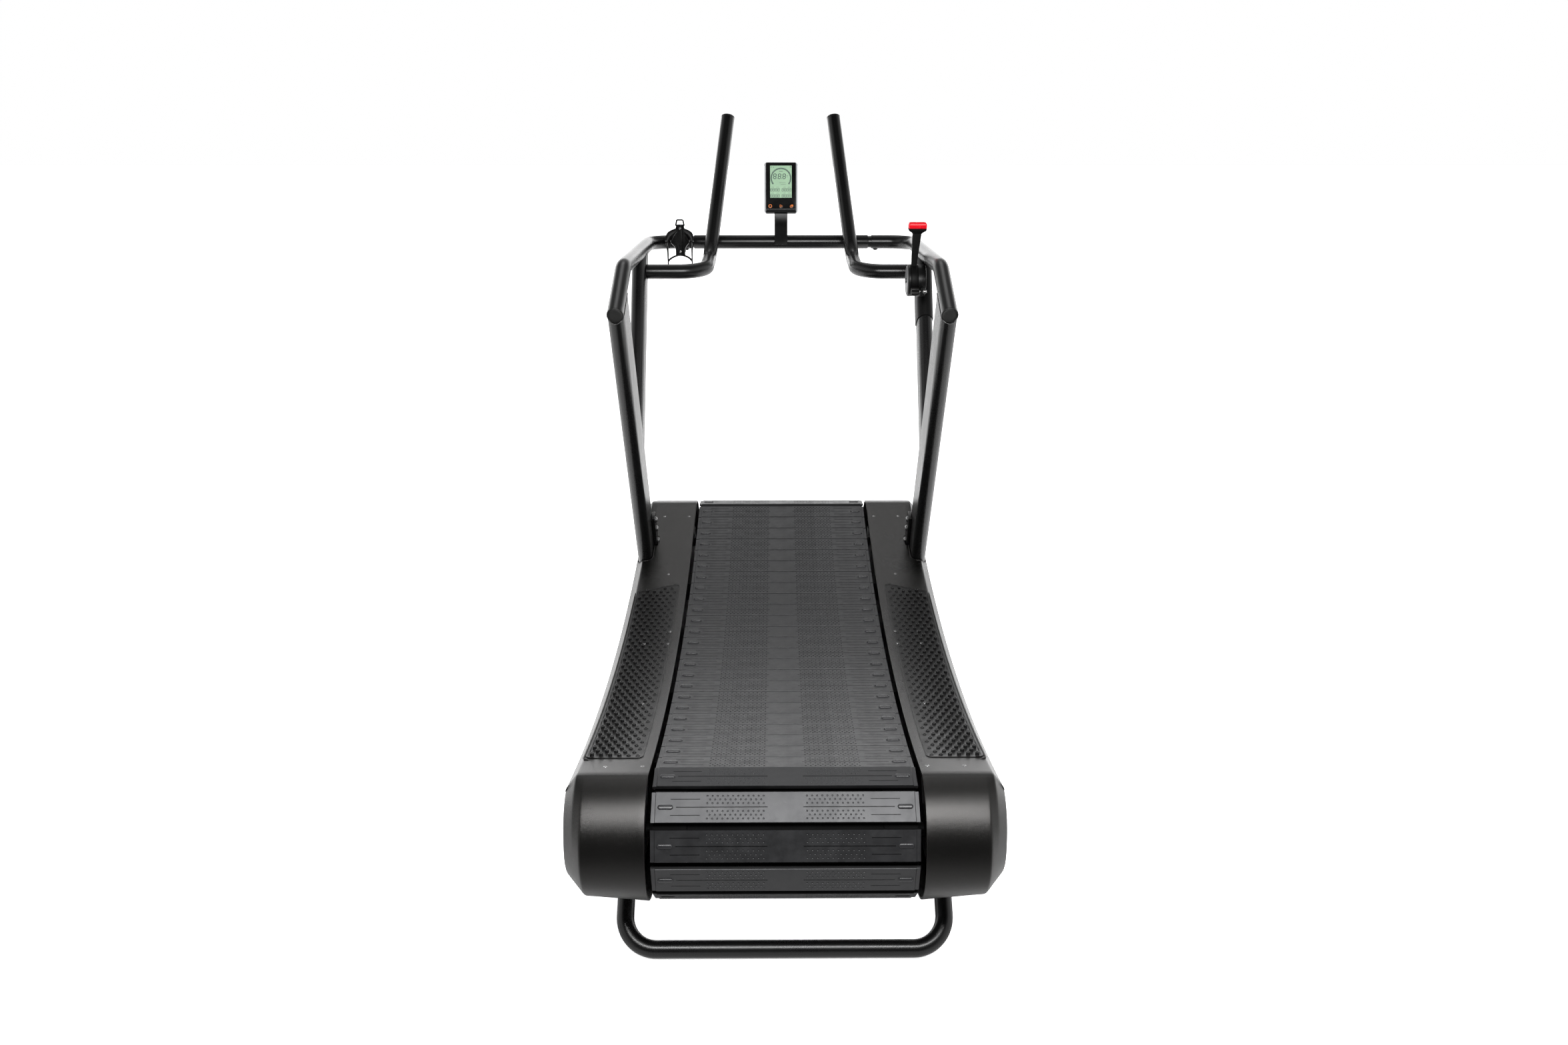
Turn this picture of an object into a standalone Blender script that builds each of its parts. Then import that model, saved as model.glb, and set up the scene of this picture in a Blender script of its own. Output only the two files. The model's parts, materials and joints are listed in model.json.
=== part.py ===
"""Curved manual treadmill: a slatted belt on two drums, covers, handrails and console.

Metres, +Z up, +Y the way the user faces, +X to the user's right. Side-view points are
(y, z) with y measured from the machine's rear; ORIGIN_Y is taken off every y as a mesh
is made, so that the origin ends under the middle of the machine.
"""

import math

import bmesh
import bpy
import numpy as np
from mathutils import Vector

for old in list(bpy.data.objects):
    bpy.data.objects.remove(old, do_unlink=True)

# ---------------------------------------------------------------- shared dimensions
ORIGIN_Y = 0.9165
SIDES = ((-1, "left"), (1, "right"))
ACROSS, ALONG, UP = (1, 0, 0), (0, 1, 0), (0, 0, 1)
CLEARANCE = 0.0003

REAR_AXIS = np.array([0.115, 0.270])  # drum axes, (y, z)
FRONT_AXIS = np.array([1.580, 0.3484])
AXES = (("rear", REAR_AXIS), ("front", FRONT_AXIS))
RUN_CENTRE = np.array([0.6713, 3.6055])  # centre of the running curve
DRUM_PITCH_RADIUS = 0.105  # belt pitch line about a drum
RUN_PITCH_RADIUS = 3.2765  # belt pitch line about RUN_CENTRE
SLAT_TOP = 0.0165  # rubber face above the pitch line
DECK_RADIUS = RUN_PITCH_RADIUS - SLAT_TOP  # deck surface, flush with the rubber face

FRAME_INNER, FRAME_OUTER = 0.258, 0.290  # side frames, distance from the middle
BEARING_INNER = FRAME_OUTER + CLEARANCE
BRAKE_PIVOT = (1.455, 0.300)
PIVOT_RADIUS = 0.0080
LEG_X = 0.309
LEG_RADIUS = 0.017

UPRIGHT_X = 0.374
UPRIGHT_FOOT = np.array([1.377, 0.330])
UPRIGHT_DIR = np.array([-0.5002, 0.8659])  # up along the upright, (y, z)
UPRIGHT_FORWARD = np.array([0.8659, 0.5002])  # square to it, towards the front
UPRIGHT_LONG, UPRIGHT_SHORT = 0.120, 0.038
UPRIGHT_INSIDE = UPRIGHT_X - UPRIGHT_SHORT / 2 - CLEARANCE  # just clear of its inner face

RAIL_RADIUS = 0.019
RAIL_CAP_RADIUS = 0.0192
RAIL_END_X = 0.2580  # where the handrails meet the centre crossbar
GRIP_END = np.array([0.857, 1.120])
GRIP_BEND = np.array([1.045, 1.2085])
BAR = np.array([1.700, 1.213])  # crossbar axis

# ---------------------------------------------------------------- materials
# slot: (base colour, metallic, roughness)
LOOKS = {
    "powder_black": ((0.020, 0.020, 0.021), 0.0, 0.42),
    "cover_plastic": ((0.045, 0.045, 0.043), 0.0, 0.55),
    "black_plastic": ((0.012, 0.012, 0.012), 0.0, 0.45),
    "pad_rubber": ((0.018, 0.018, 0.018), 0.0, 0.75),
    "belt_rubber": ((0.050, 0.050, 0.050), 0.0, 0.62),
    "red_plastic": ((0.55, 0.02, 0.02), 0.0, 0.35),
    "lcd": ((0.30, 0.42, 0.20), 0.0, 0.20),
    "steel": ((0.55, 0.55, 0.56), 1.0, 0.30),
    "disc_aluminium": ((0.75, 0.75, 0.77), 1.0, 0.35),
    "orange_print": ((0.80, 0.28, 0.06), 0.0, 0.40),
    "wheel_rubber": ((0.03, 0.03, 0.03), 0.0, 0.65),
}


def material(slot):
    found = bpy.data.materials.get(slot)
    if found:
        return found
    color, metallic, roughness = LOOKS[slot]
    made = bpy.data.materials.new(slot)
    made.use_nodes = True
    shader = made.node_tree.nodes["Principled BSDF"]
    shader.inputs["Base Color"].default_value = (*color, 1)
    shader.inputs["Metallic"].default_value = metallic
    shader.inputs["Roughness"].default_value = roughness
    return made


# ---------------------------------------------------------------- plane geometry
def unit(angle):
    return np.array([math.cos(angle), math.sin(angle)])


def angle_of(vector):
    return math.atan2(vector[1], vector[0])


def normalized(vector):
    return vector / np.hypot(*vector)


def polar(centre, radius, angle):
    return (centre[0] + radius * math.cos(angle), centre[1] + radius * math.sin(angle))


def circle(radius, steps, centre=(0, 0)):
    return [polar(centre, radius, 2 * math.pi * i / steps) for i in range(steps)]


def oval(long, short, steps=6):
    """A flat-sided oval, long along its second coordinate."""
    radius = short / 2
    straight = long / 2 - radius
    points = []
    for turn, middle in ((0, straight), (math.pi, -straight)):
        for i in range(steps + 1):
            points.append(polar((0, middle), radius, turn + math.pi * i / steps))
    return points


def mirrored(half):
    """A turning profile of (x, radius) pairs completed by its mirror image in x."""
    return [(-x, radius) for x, radius in half[::-1]] + half


def run_height(y, radius):
    """Height of the circle of that radius about the running curve's centre, at y."""
    return RUN_CENTRE[1] - math.sqrt(radius * radius - (y - RUN_CENTRE[0]) ** 2)


def run_line(y0, y1, radius, steps):
    stations = [y0 + (y1 - y0) * i / steps for i in range(steps + 1)]
    return [(y, run_height(y, radius)) for y in stations]


def upright_point(along, forward):
    return UPRIGHT_FOOT + UPRIGHT_DIR * along + UPRIGHT_FORWARD * forward


def corner_path(corners, radii, steps=6):
    """The corners joined by straight runs, each inner corner rounded to its radius."""
    corners = [Vector(corner) for corner in corners]
    path = [corners[0]]
    for before, corner, after, radius in zip(corners, corners[1:], corners[2:], radii):
        back = (before - corner).normalized()
        ahead = (after - corner).normalized()
        half = back.angle(ahead) / 2
        reach = radius / math.tan(half)
        centre = corner + (back + ahead).normalized() * (radius / math.sin(half))
        start = corner + back * reach - centre
        end = corner + ahead * reach - centre
        swing = start.angle(end)
        for i in range(steps + 1):
            part = i / steps
            blend = start * math.sin((1 - part) * swing) + end * math.sin(part * swing)
            path.append(centre + blend / math.sin(swing))
    path.append(corners[-1])
    return path


# ---------------------------------------------------------------- solids
def make(name, points, faces, slot=None):
    """A mesh object from drawing coordinates, with its normals outward."""
    mesh = bpy.data.meshes.new(name)
    mesh.from_pydata([(x, y - ORIGIN_Y, z) for x, y, z in points], [], faces)
    bm = bmesh.new()
    bm.from_mesh(mesh)
    bmesh.ops.recalc_face_normals(bm, faces=bm.faces)
    bm.to_mesh(mesh)
    bm.free()
    obj = bpy.data.objects.new(name, mesh)
    bpy.context.scene.collection.objects.link(obj)
    if slot:
        mesh.materials.append(material(slot))
    return obj


def band(first, second, count):
    """Quads between two numbered loops of count points."""
    faces = []
    for i in range(count):
        j = (i + 1) % count
        faces.append((first * count + i, first * count + j, second * count + j, second * count + i))
    return faces


def loft(name, loops, slot=None):
    """A closed solid through loops with the same number of points."""
    count = len(loops[0])
    points = [point for loop in loops for point in loop]
    last = len(loops) - 1
    faces = [tuple(range(count)), tuple(reversed(range(last * count, (last + 1) * count)))]
    for k in range(last):
        faces += band(k, k + 1, count)
    return make(name, points, faces, slot)


def prism(name, outline, x0, x1, slot=None):
    """A side-view outline of (y, z) points, pulled from x0 to x1."""
    return loft(name, [[(x, y, z) for y, z in outline] for x in (x0, x1)], slot)


def block(name, low, high):
    outline = [(low[1], low[2]), (high[1], low[2]), (high[1], high[2]), (low[1], high[2])]
    return prism(name, outline, low[0], high[0])


def turned(name, profile, centre, steps, slot=None, sign=1):
    """A solid of revolution about X: profile is (x, radius) pairs, centre is (y, z)."""
    loops = [[(sign * x, y, z) for y, z in circle(r, steps, centre)] for x, r in profile]
    return loft(name, loops, slot)


def cylinder(name, x0, x1, radius, centre, steps, slot=None):
    return turned(name, [(x0, radius), (x1, radius)], centre, steps, slot)


def swept(name, path, outline, side, slot=None):
    """An outline of pairs carried along a path; the first coordinate starts along side."""
    path = [Vector(point) for point in path]
    side = Vector(side)
    loops = []
    for k, point in enumerate(path):
        tangent = (path[min(k + 1, len(path) - 1)] - path[max(k - 1, 0)]).normalized()
        side = (side - tangent * side.dot(tangent)).normalized()
        other = tangent.cross(side)
        loops.append([tuple(point + side * a + other * b) for a, b in outline])
    return loft(name, loops, slot)


def coped(name, x, start, direction, long, short, cut_low, cut_high, slot=None):
    """A flat oval bar in a plane of constant x, its ends cut by two functions of
    (offset across x, foot point) that give the distance along the bar."""
    side_dir = np.array([direction[1], -direction[0]])
    loops = [[], []]
    for offset, forward in oval(long, short, 8):
        foot = start + side_dir * forward
        for loop, distance in zip(loops, (cut_low, cut_high)):
            loop.append((x + offset, *(foot + direction * distance(offset, foot))))
    return loft(name, loops, slot)


def to_line(origin, along, direction):
    """A cut for coped: distance along direction to the plane that holds a tube's axis."""
    normal = np.array([-along[1], along[0]])

    def distance(offset, foot):
        return float(((origin - foot) @ normal) / (direction @ normal))

    return distance


def tube_room(x, origin, along, radius):
    """A cutter that leaves a running gap round a tube through origin."""
    path = [(x, *(origin - along * 0.30)), (x, *(origin + along * 0.30))]
    return swept("cutter", path, circle(radius + CLEARANCE, 28), ACROSS)


def combine(target, tools, operation):
    """Applies one boolean per tool to target, and removes the tools."""
    for tool in tools:
        modifier = target.modifiers.new("combine", "BOOLEAN")
        modifier.operation = operation
        modifier.solver = "EXACT"
        modifier.object = tool
    graph = bpy.context.evaluated_depsgraph_get()
    graph.update()
    mesh = bpy.data.meshes.new_from_object(target.evaluated_get(graph))
    target.modifiers.clear()
    target.data = mesh
    for tool in tools:
        bpy.data.objects.remove(tool, do_unlink=True)


def join(target, *tools):
    combine(target, tools, "UNION")


def cut(target, *tools):
    combine(target, tools, "DIFFERENCE")


def bore(target, x0, x1, radius, centre, steps):
    cut(target, cylinder("cutter", x0, x1, radius, centre, steps))


# ---------------------------------------------------------------- belt
SLATS = 60
SLAT_CHORD = 0.0568
SLAT_UNDER = 0.0085  # underside of the slat above the pitch line
SLAT_ROOT = 0.020  # half length of the slat's root on the band
BAND_HALF = 0.003  # half thickness of the carrier band
BELT_HALF_WIDTH = 0.240
BELT_END_GAP = 0.0008  # left at each end of a belt piece
FIRST_SLAT = 0.0301  # first slat's middle, from the start of the top run

# Outward normals where the belt changes from one part to the next.
SPAN = FRONT_AXIS - REAR_AXIS
REAR_TOP = angle_of(RUN_CENTRE - REAR_AXIS)
FRONT_TOP = angle_of(RUN_CENTRE - FRONT_AXIS)
FRONT_LOW = angle_of(SPAN) - math.pi / 2
REAR_LOW = FRONT_LOW + 2 * math.pi

RUN_LENGTH = RUN_PITCH_RADIUS * (FRONT_TOP - REAR_TOP)
FRONT_WRAP = DRUM_PITCH_RADIUS * (FRONT_TOP - FRONT_LOW)
LOWER_LENGTH = float(np.hypot(*SPAN))
REAR_WRAP = DRUM_PITCH_RADIUS * (REAR_LOW - REAR_TOP)
SLAT_PITCH = (RUN_LENGTH + FRONT_WRAP + LOWER_LENGTH + REAR_WRAP) / SLATS

# name, part, slats, length, steps along the underside
BELT_PIECES = (
    ("belt_top_run", "run", 24, RUN_LENGTH, 24),
    ("belt_front_wrap", "front", 6, FRONT_WRAP, 30),
    ("belt_bottom_run", "lower", 24, LOWER_LENGTH, 6),
    ("belt_rear_wrap", "rear", 6, REAR_WRAP, 30),
)


def belt_at(part, distance):
    """(point, along, outward) on the pitch line, distance from the start of that part."""
    if part == "run":
        out = unit(REAR_TOP + distance / RUN_PITCH_RADIUS)
        point = RUN_CENTRE - RUN_PITCH_RADIUS * out
    elif part == "front":
        out = unit(FRONT_TOP - distance / DRUM_PITCH_RADIUS)
        point = FRONT_AXIS + DRUM_PITCH_RADIUS * out
    elif part == "lower":
        out = unit(FRONT_LOW)
        point = FRONT_AXIS + DRUM_PITCH_RADIUS * out + np.array([out[1], -out[0]]) * distance
    else:
        out = unit(REAR_LOW - distance / DRUM_PITCH_RADIUS)
        point = REAR_AXIS + DRUM_PITCH_RADIUS * out
    return point, np.array([out[1], -out[0]]), out


def band_point(part, distance, sign):
    """On the carrier band's outer (sign 1) or inner (sign -1) face."""
    point, _, out = belt_at(part, distance)
    return tuple(point + sign * out * BAND_HALF)


def belt_piece(name, part, first, count, length, steps):
    """Slats on their carrier band, as one comb-shaped solid."""
    start, end = BELT_END_GAP, length - BELT_END_GAP
    outline = [band_point(part, start, -1)]
    if first - SLAT_ROOT > start:
        outline.append(band_point(part, start, 1))
    for k in range(count):
        middle = first + k * SLAT_PITCH
        point, along, out = belt_at(part, middle)
        for sign in (-1, 1):
            root = min(max(middle + sign * SLAT_ROOT, start), end)
            half = [
                band_point(part, root, 1),
                tuple(point + along * (sign * SLAT_ROOT) + out * SLAT_UNDER),
                tuple(point + along * (sign * SLAT_CHORD / 2) + out * SLAT_UNDER),
                tuple(point + along * (sign * SLAT_CHORD / 2) + out * SLAT_TOP),
            ]
            outline += half if sign < 0 else half[::-1]
    if first + (count - 1) * SLAT_PITCH + SLAT_ROOT < end:
        outline.append(band_point(part, end, 1))
    for i in range(steps):
        outline.append(band_point(part, end + (start - end) * i / steps, -1))
    prism(name, outline, -BELT_HALF_WIDTH, BELT_HALF_WIDTH, "belt_rubber")


def belt():
    first = FIRST_SLAT
    for name, part, count, length, steps in BELT_PIECES:
        belt_piece(name, part, first, count, length, steps)
        first += count * SLAT_PITCH - length


# ---------------------------------------------------------------- drums and brake
SHAFT_RADIUS = 0.0125
SHAFT_END = 0.3140
BRAKE_SHAFT_END = 0.3390  # the front shaft runs on through the disc, on the right
DRUM_HALF = [  # (x, radius)
    (0.169, 0.052), (0.170, 0.1010), (0.2360, 0.1010), (0.2365, SHAFT_RADIUS),
]
DISC_PROFILE = [  # (x, radius)
    (0.3190, 0.030), (0.3205, 0.095), (0.3255, 0.095), (0.3270, 0.030), (0.3330, 0.026),
]


def drum(name, axis, right_end):
    ends = [(-SHAFT_END, SHAFT_RADIUS)], [(right_end, SHAFT_RADIUS)]
    turned(name, ends[0] + mirrored(DRUM_HALF) + ends[1], axis, 32, "steel")


def brake_disc():
    disc = turned("brake_disc", DISC_PROFILE, FRONT_AXIS, 32, "disc_aluminium")
    bore(disc, 0.30, 0.36, SHAFT_RADIUS + CLEARANCE, FRONT_AXIS, 32)


def magnet_bracket():
    """An arc-edged plate behind the front axis, with three magnets facing the disc."""
    outline = [polar(FRONT_AXIS, 0.090, math.radians(148 + 60 * i / 8)) for i in range(9)]
    for dy, dz in ((0.012, -0.014), (-0.014, -0.014), (-0.014, 0.014)):
        outline.append((BRAKE_PIVOT[0] + dy, BRAKE_PIVOT[1] + dz))
    bracket = prism("magnet_bracket", outline, 0.3290, 0.3350, "steel")
    magnets = []
    for degrees in (158, 178, 198):
        centre = polar(FRONT_AXIS, 0.082, math.radians(degrees))
        magnets.append(cylinder("magnet", 0.3275, 0.3340, 0.010, centre, 16))
    join(bracket, *magnets)
    bore(bracket, 0.32, 0.35, PIVOT_RADIUS + CLEARANCE, BRAKE_PIVOT, 24)


# ---------------------------------------------------------------- frame under the covers
BEARING_OUTER = 0.3125
BEARING_HALF = 0.036


def side_frame(sign, side):
    outline = [(0.070, 0.235), (0.150, 0.232)]
    outline += run_line(0.175, 1.515, 3.395, 18)
    outline += [(1.545, 0.308), (1.625, 0.313), (1.625, 0.384), (1.555, 0.392)]
    outline += run_line(0.175, 1.515, 3.295, 18)[::-1]
    outline += [(0.140, 0.308), (0.070, 0.305)]
    inner, outer = sign * FRAME_INNER, sign * FRAME_OUTER
    beam = prism(f"{side}_side_frame", outline, inner, outer, "powder_black")
    for _, axis in AXES:
        bore(beam, sign * 0.24, sign * 0.31, 0.0145, axis, 24)
    if side == "right":
        join(beam, cylinder("pin", 0.285, 0.338, PIVOT_RADIUS, BRAKE_PIVOT, 24))


def bearing(sign, side, where, axis):
    """A sixteen-point rounded square block round the shaft."""

    def offset(value):
        return BEARING_HALF * max(-0.92, min(0.92, 1.3 * value))

    outline = []
    for i in range(16):
        angle = 2 * math.pi * (i + 0.5) / 16
        outline.append((axis[0] + offset(math.cos(angle)), axis[1] + offset(math.sin(angle))))
    inner, outer = sign * BEARING_INNER, sign * BEARING_OUTER
    housing = prism(f"{side}_{where}_bearing", outline, inner, outer, "steel")
    bore(housing, sign * 0.28, sign * 0.33, 0.01262, axis, 32)


def curve_rail(sign, side):
    """The strip under the edge of the top run."""
    outline = run_line(0.212, 1.448, RUN_PITCH_RADIUS + 0.0045, 16)
    outline += run_line(0.212, 1.448, RUN_PITCH_RADIUS + 0.0290, 16)[::-1]
    prism(f"{side}_curve_rail", outline, sign * 0.204, sign * 0.234, "black_plastic")


def cross_members():
    half_width = FRAME_INNER - CLEARANCE
    for where, y in (("rear", 0.300), ("middle", 0.670), ("front", 1.250)):
        outline = run_line(y - 0.025, y + 0.025, 3.351, 1)
        outline += run_line(y - 0.025, y + 0.025, 3.3059, 1)[::-1]
        prism(f"{where}_cross_member", outline, -half_width, half_width, "powder_black")


# ---------------------------------------------------------------- feet and wheels
FRONT_LEG_LOW = (1.600, 0.040)
LEGS = (  # name, upper end (y, z), lower run (y, z)
    ("rear_foot_tube", (0.292, 0.2065), (0.1025, 0.017)),
    ("front_foot_tube", (1.455, 0.243), FRONT_LEG_LOW),
)
LEG_BEND = 0.062
WHEEL_AXIS = (1.628, 0.046)
WHEEL_PROFILE = [  # (x, radius)
    (0.3405, 0.034), (0.3425, 0.036), (0.3625, 0.036), (0.3645, 0.034),
]
AXLE_PROFILE = [  # (x, radius)
    (0.3320, 0.0050), (0.3650, 0.0050), (0.3652, 0.0090), (0.3690, 0.0080),
]
WHEEL_LUG = [  # (y, z)
    (1.588, 0.058), (1.617, 0.030), (1.640, 0.034), (1.642, 0.058), (1.610, 0.078),
]


def foot_tubes():
    """U-shaped tubes, each running across the floor and up at both sides."""
    for name, top, low in LEGS:
        corners = [(-LEG_X, *top), (-LEG_X, *low), (LEG_X, *low), (LEG_X, *top)]
        path = corner_path(corners, [LEG_BEND, LEG_BEND])
        swept(name, path, circle(LEG_RADIUS, 18), ACROSS, "powder_black")


def front_foot(sign, side):
    y = FRONT_LEG_LOW[0]
    name = f"{side}_front_foot"
    foot = cylinder(name, sign * 0.170, sign * 0.225, 0.0225, (y, 0.0405), 24, "pad_rubber")
    middle = sign * 0.197
    low, high = (middle - 0.0275, y - 0.028, 0.0), (middle + 0.0275, y + 0.028, 0.0335)
    join(foot, block("sole", low, high))
    bore(foot, sign * 0.15, sign * 0.25, LEG_RADIUS + CLEARANCE, FRONT_LEG_LOW, 24)


def transport_wheel(sign, side):
    name = f"{side}_transport_wheel"
    wheel = turned(name, WHEEL_PROFILE, WHEEL_AXIS, 28, "wheel_rubber", sign)
    bore(wheel, sign * 0.33, sign * 0.38, 0.00512, WHEEL_AXIS, 24)


def wheel_axle(sign, side):
    axle = turned(f"{side}_wheel_axle", AXLE_PROFILE, WHEEL_AXIS, 24, "steel", sign)
    join(axle, prism("lug", WHEEL_LUG, sign * 0.3270, sign * 0.3330))


# ---------------------------------------------------------------- side covers
CASING_RADIUS = 0.129  # cover round each drum axis
# Insets from the side outline, for faces that look up, endways and down.
# x, top, end, low, wall
COVER_STATIONS = (
    (0.2445, 0, 0, 0, 0),  # outer skin, from the belt outwards
    (0.3640, 0, 0, 0.012, 0),
    (0.3740, 0.0008, 0.0133, 0.020, 0),
    (0.4000, 0.0270, 0.0480, 0.045, 0),
    (0.3970, 0.0239, 0.0440, 0.042, 0.0040),  # inner skin, back towards the belt
    (0.3725, 0.0006, 0.0120, 0.019, 0.0032),
    (0.3630, 0, 0, 0.012, 0.0030),
    (0.2445, 0, 0, 0, 0.0030),
)
PLATE_SLOT = (  # (along, forward) on the upright
    (0.015, 0.016), (0.015, 0.064), (0.19, 0.064), (0.19, 0.016),
)
LEG_HOLES = (  # two points (y, z) on each hole's axis
    ((0.20, 0.1145), (0.31, 0.2245)),
    ((1.56, 0.096), (1.45, 0.250)),
)


def side_outline():
    """The cover's side view: points, each with its outward normal."""
    crease_half = math.sqrt(CASING_RADIUS**2 - (DRUM_PITCH_RADIUS + SLAT_TOP) ** 2)
    rear_edge = REAR_TOP - crease_half / DECK_RADIUS
    front_edge = FRONT_TOP + crease_half / DECK_RADIUS
    points = []
    for i in range(25):
        out = unit(rear_edge + (front_edge - rear_edge) * i / 24)
        points.append((RUN_CENTRE - DECK_RADIUS * out, out))
    first = angle_of(points[-1][0] - FRONT_AXIS)
    for i in range(1, 13):
        out = unit(first + (FRONT_LOW - first) * i / 12)
        points.append((FRONT_AXIS + CASING_RADIUS * out, out))
    last = angle_of(points[0][0] - REAR_AXIS)
    for i in range(12):
        out = unit(REAR_LOW + (last - REAR_LOW) * i / 12)
        points.append((REAR_AXIS + CASING_RADIUS * out, out))
    return points


def side_cover(sign, side):
    """A shell open towards the belt, with openings for the upright and the legs."""
    outline = side_outline()
    count = len(outline)
    points = []
    for x, top, end, low, wall in COVER_STATIONS:
        for point, out in outline:
            vertical = top if out[1] > 0 else low
            inset = wall + vertical * out[1] ** 2 + end * out[0] ** 2
            points.append((sign * x, *(point - out * inset)))
    faces = [tuple(range(3 * count, 4 * count)), tuple(range(4 * count, 5 * count))]
    for k in (0, 1, 2, 4, 5, 6):
        faces += band(k, k + 1, count)
    faces += band(0, 7, count)
    cover = make(f"{side}_side_cover", points, faces, "cover_plastic")

    x = sign * UPRIGHT_X
    notch_path = [(x, *upright_point(along, 0)) for along in (0.030, 0.200)]
    cutters = [swept("notch", notch_path, oval(0.126, 0.0425), ACROSS)]
    slot = [upright_point(along, forward) for along, forward in PLATE_SLOT]
    cutters.append(prism("slot", slot, sign * 0.3440, sign * 0.3600))
    for ends in LEG_HOLES:
        path = [(sign * LEG_X, y, z) for y, z in ends]
        cutters.append(swept("leg", path, circle(0.0185, 18), ACROSS))
    cut(cover, *cutters)


# ---------------------------------------------------------------- foot pads
PAD_INNER, PAD_OUTER = 0.268, 0.3725
PAD_CORNER = 0.015
PAD_CORNER_Y = 0.205  # the rear corners' rounding ends here
PAD_TAPER_Y = 1.085  # the outer edge starts to run in here
PAD_TAPER_END_Y = 1.142
PAD_TAPER = 0.095
PAD_TAPER_MIN = 0.004
PAD_NOSE_Y = 1.125  # the inner edge starts to run out here
PAD_THICKNESS_TOP = 0.0030


def foot_pad(sign, side):
    """A strip on the deck, narrowing at both ends."""
    stations = [0.190, 0.1925, 0.197, PAD_CORNER_Y]
    stations += [PAD_CORNER_Y + (PAD_TAPER_Y - PAD_CORNER_Y) * i / 14 for i in range(1, 15)]
    stations += [1.100, 1.115, 1.128, 1.1350, 1.1385]
    under = DECK_RADIUS - CLEARANCE
    over = DECK_RADIUS - PAD_THICKNESS_TOP
    loops = []
    for y in stations:
        inner, outer = PAD_INNER, PAD_OUTER
        if y < PAD_CORNER_Y:
            rise = math.sqrt(max(0.0, PAD_CORNER**2 - (PAD_CORNER_Y - y) ** 2))
            inner += PAD_CORNER - rise
            outer -= PAD_CORNER - rise
        if y > PAD_TAPER_Y:
            outer -= (y - PAD_TAPER_Y) / (PAD_TAPER_END_Y - PAD_TAPER_Y) * PAD_TAPER
            outer = min(outer, PAD_OUTER - PAD_TAPER_MIN)
        if y > PAD_NOSE_Y:
            inner += (y - PAD_NOSE_Y) * 0.35
        corners = ((inner, under), (outer, under), (outer, over), (inner, over))
        loops.append([(sign * x, y, run_height(y, radius)) for x, radius in corners])
    loft(f"{side}_foot_pad", loops, "pad_rubber")


# ---------------------------------------------------------------- uprights, posts, rails
GRIP_DIR = normalized(GRIP_BEND - GRIP_END)
LEVEL_DIR = normalized(BAR - GRIP_BEND)  # along the level side rail
POST_FOOT = np.array([1.170, 0.735])
POST_DIR = normalized(np.array([0.265, 0.478]))
HORN_X, HORN_TIP_X = 0.200, 0.1520
HORN_START = (1.395, 1.161)
BRACKET_OUTLINE = (  # (along, forward) on the upright
    (-0.002, -0.030), (-0.002, 0.058), (0.168, 0.058), (0.178, 0.050),
    (0.178, 0.022), (0.02, 0.018), (0.008, -0.030),
)
BOLT_HEAD = [(0.3500, 0.0078), (0.3430, 0.0078), (0.3405, 0.0050)]  # (x, radius)
CROSSBAR_HALF = [  # (x, radius)
    (0.2470, RAIL_RADIUS), (0.2480, 0.0165), (RAIL_END_X - CLEARANCE, 0.0165),
]


def upright(sign, side):
    x = sign * UPRIGHT_X
    bar = coped(
        f"{side}_upright", x, UPRIGHT_FOOT, UPRIGHT_DIR, UPRIGHT_LONG, UPRIGHT_SHORT,
        lambda offset, foot: 0.0, to_line(GRIP_END, GRIP_DIR, UPRIGHT_DIR), "powder_black",
    )
    cut(bar, tube_room(x, GRIP_END, GRIP_DIR, RAIL_RADIUS + 0.0004))


def front_post(sign, side):
    """A bar from the upright's front edge to the level side rail."""
    x = sign * UPRIGHT_X
    edge_radius = UPRIGHT_SHORT / 2
    edge_forward = UPRIGHT_LONG / 2 - edge_radius  # axis of the upright's rounded edge
    low_cut = to_line(upright_point(0, edge_forward), UPRIGHT_DIR, POST_DIR)
    high_cut = to_line(GRIP_BEND, LEVEL_DIR, POST_DIR)
    post = coped(
        f"{side}_front_post", x, POST_FOOT, POST_DIR, 0.080, 0.0376,
        low_cut, high_cut, "powder_black",
    )
    rail_y = 1.435
    rail_z = GRIP_BEND[1] + LEVEL_DIR[1] / LEVEL_DIR[0] * (rail_y - GRIP_BEND[0])
    cut(
        post,
        tube_room(x, upright_point(0.49, edge_forward), UPRIGHT_DIR, edge_radius),
        tube_room(x, np.array([rail_y, rail_z]), LEVEL_DIR, RAIL_RADIUS),
    )


def upright_bracket(sign, side):
    """Bolting plate inside the upright, with a spacer to the frame and three heads."""
    outline = [upright_point(along, forward) for along, forward in BRACKET_OUTLINE]
    name = f"{side}_upright_bracket"
    plate = prism(name, outline, sign * 0.3455, sign * UPRIGHT_INSIDE, "powder_black")
    low, high = (sign * BEARING_INNER, 1.330, 0.300), (sign * 0.350, 1.405, 0.345)
    parts = [block("spacer", low, high)]
    for along in (0.150, 0.120, 0.070):
        parts.append(turned("head", BOLT_HEAD, upright_point(along, 0.040), 14, None, sign))
    join(plate, *parts)


def handrail(sign, side):
    """Rising grip, level side rail, then the bend into the crossbar."""
    x = sign * UPRIGHT_X
    start = (x, *(GRIP_END + GRIP_DIR * 0.0043))
    corners = [start, (x, *GRIP_BEND), (x, *BAR), (sign * RAIL_END_X, *BAR)]
    path = corner_path(corners, [0.10, 0.072], 8)
    swept(f"{side}_handrail", path, circle(RAIL_RADIUS, 20), ACROSS, "powder_black")


def grip_cap(sign, side):
    along = (-0.0005, 0.0005, 0.0040)
    path = [(sign * UPRIGHT_X, *(GRIP_END + GRIP_DIR * distance)) for distance in along]
    swept(f"{side}_grip_cap", path, circle(RAIL_CAP_RADIUS, 24), ACROSS, "black_plastic")


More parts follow.
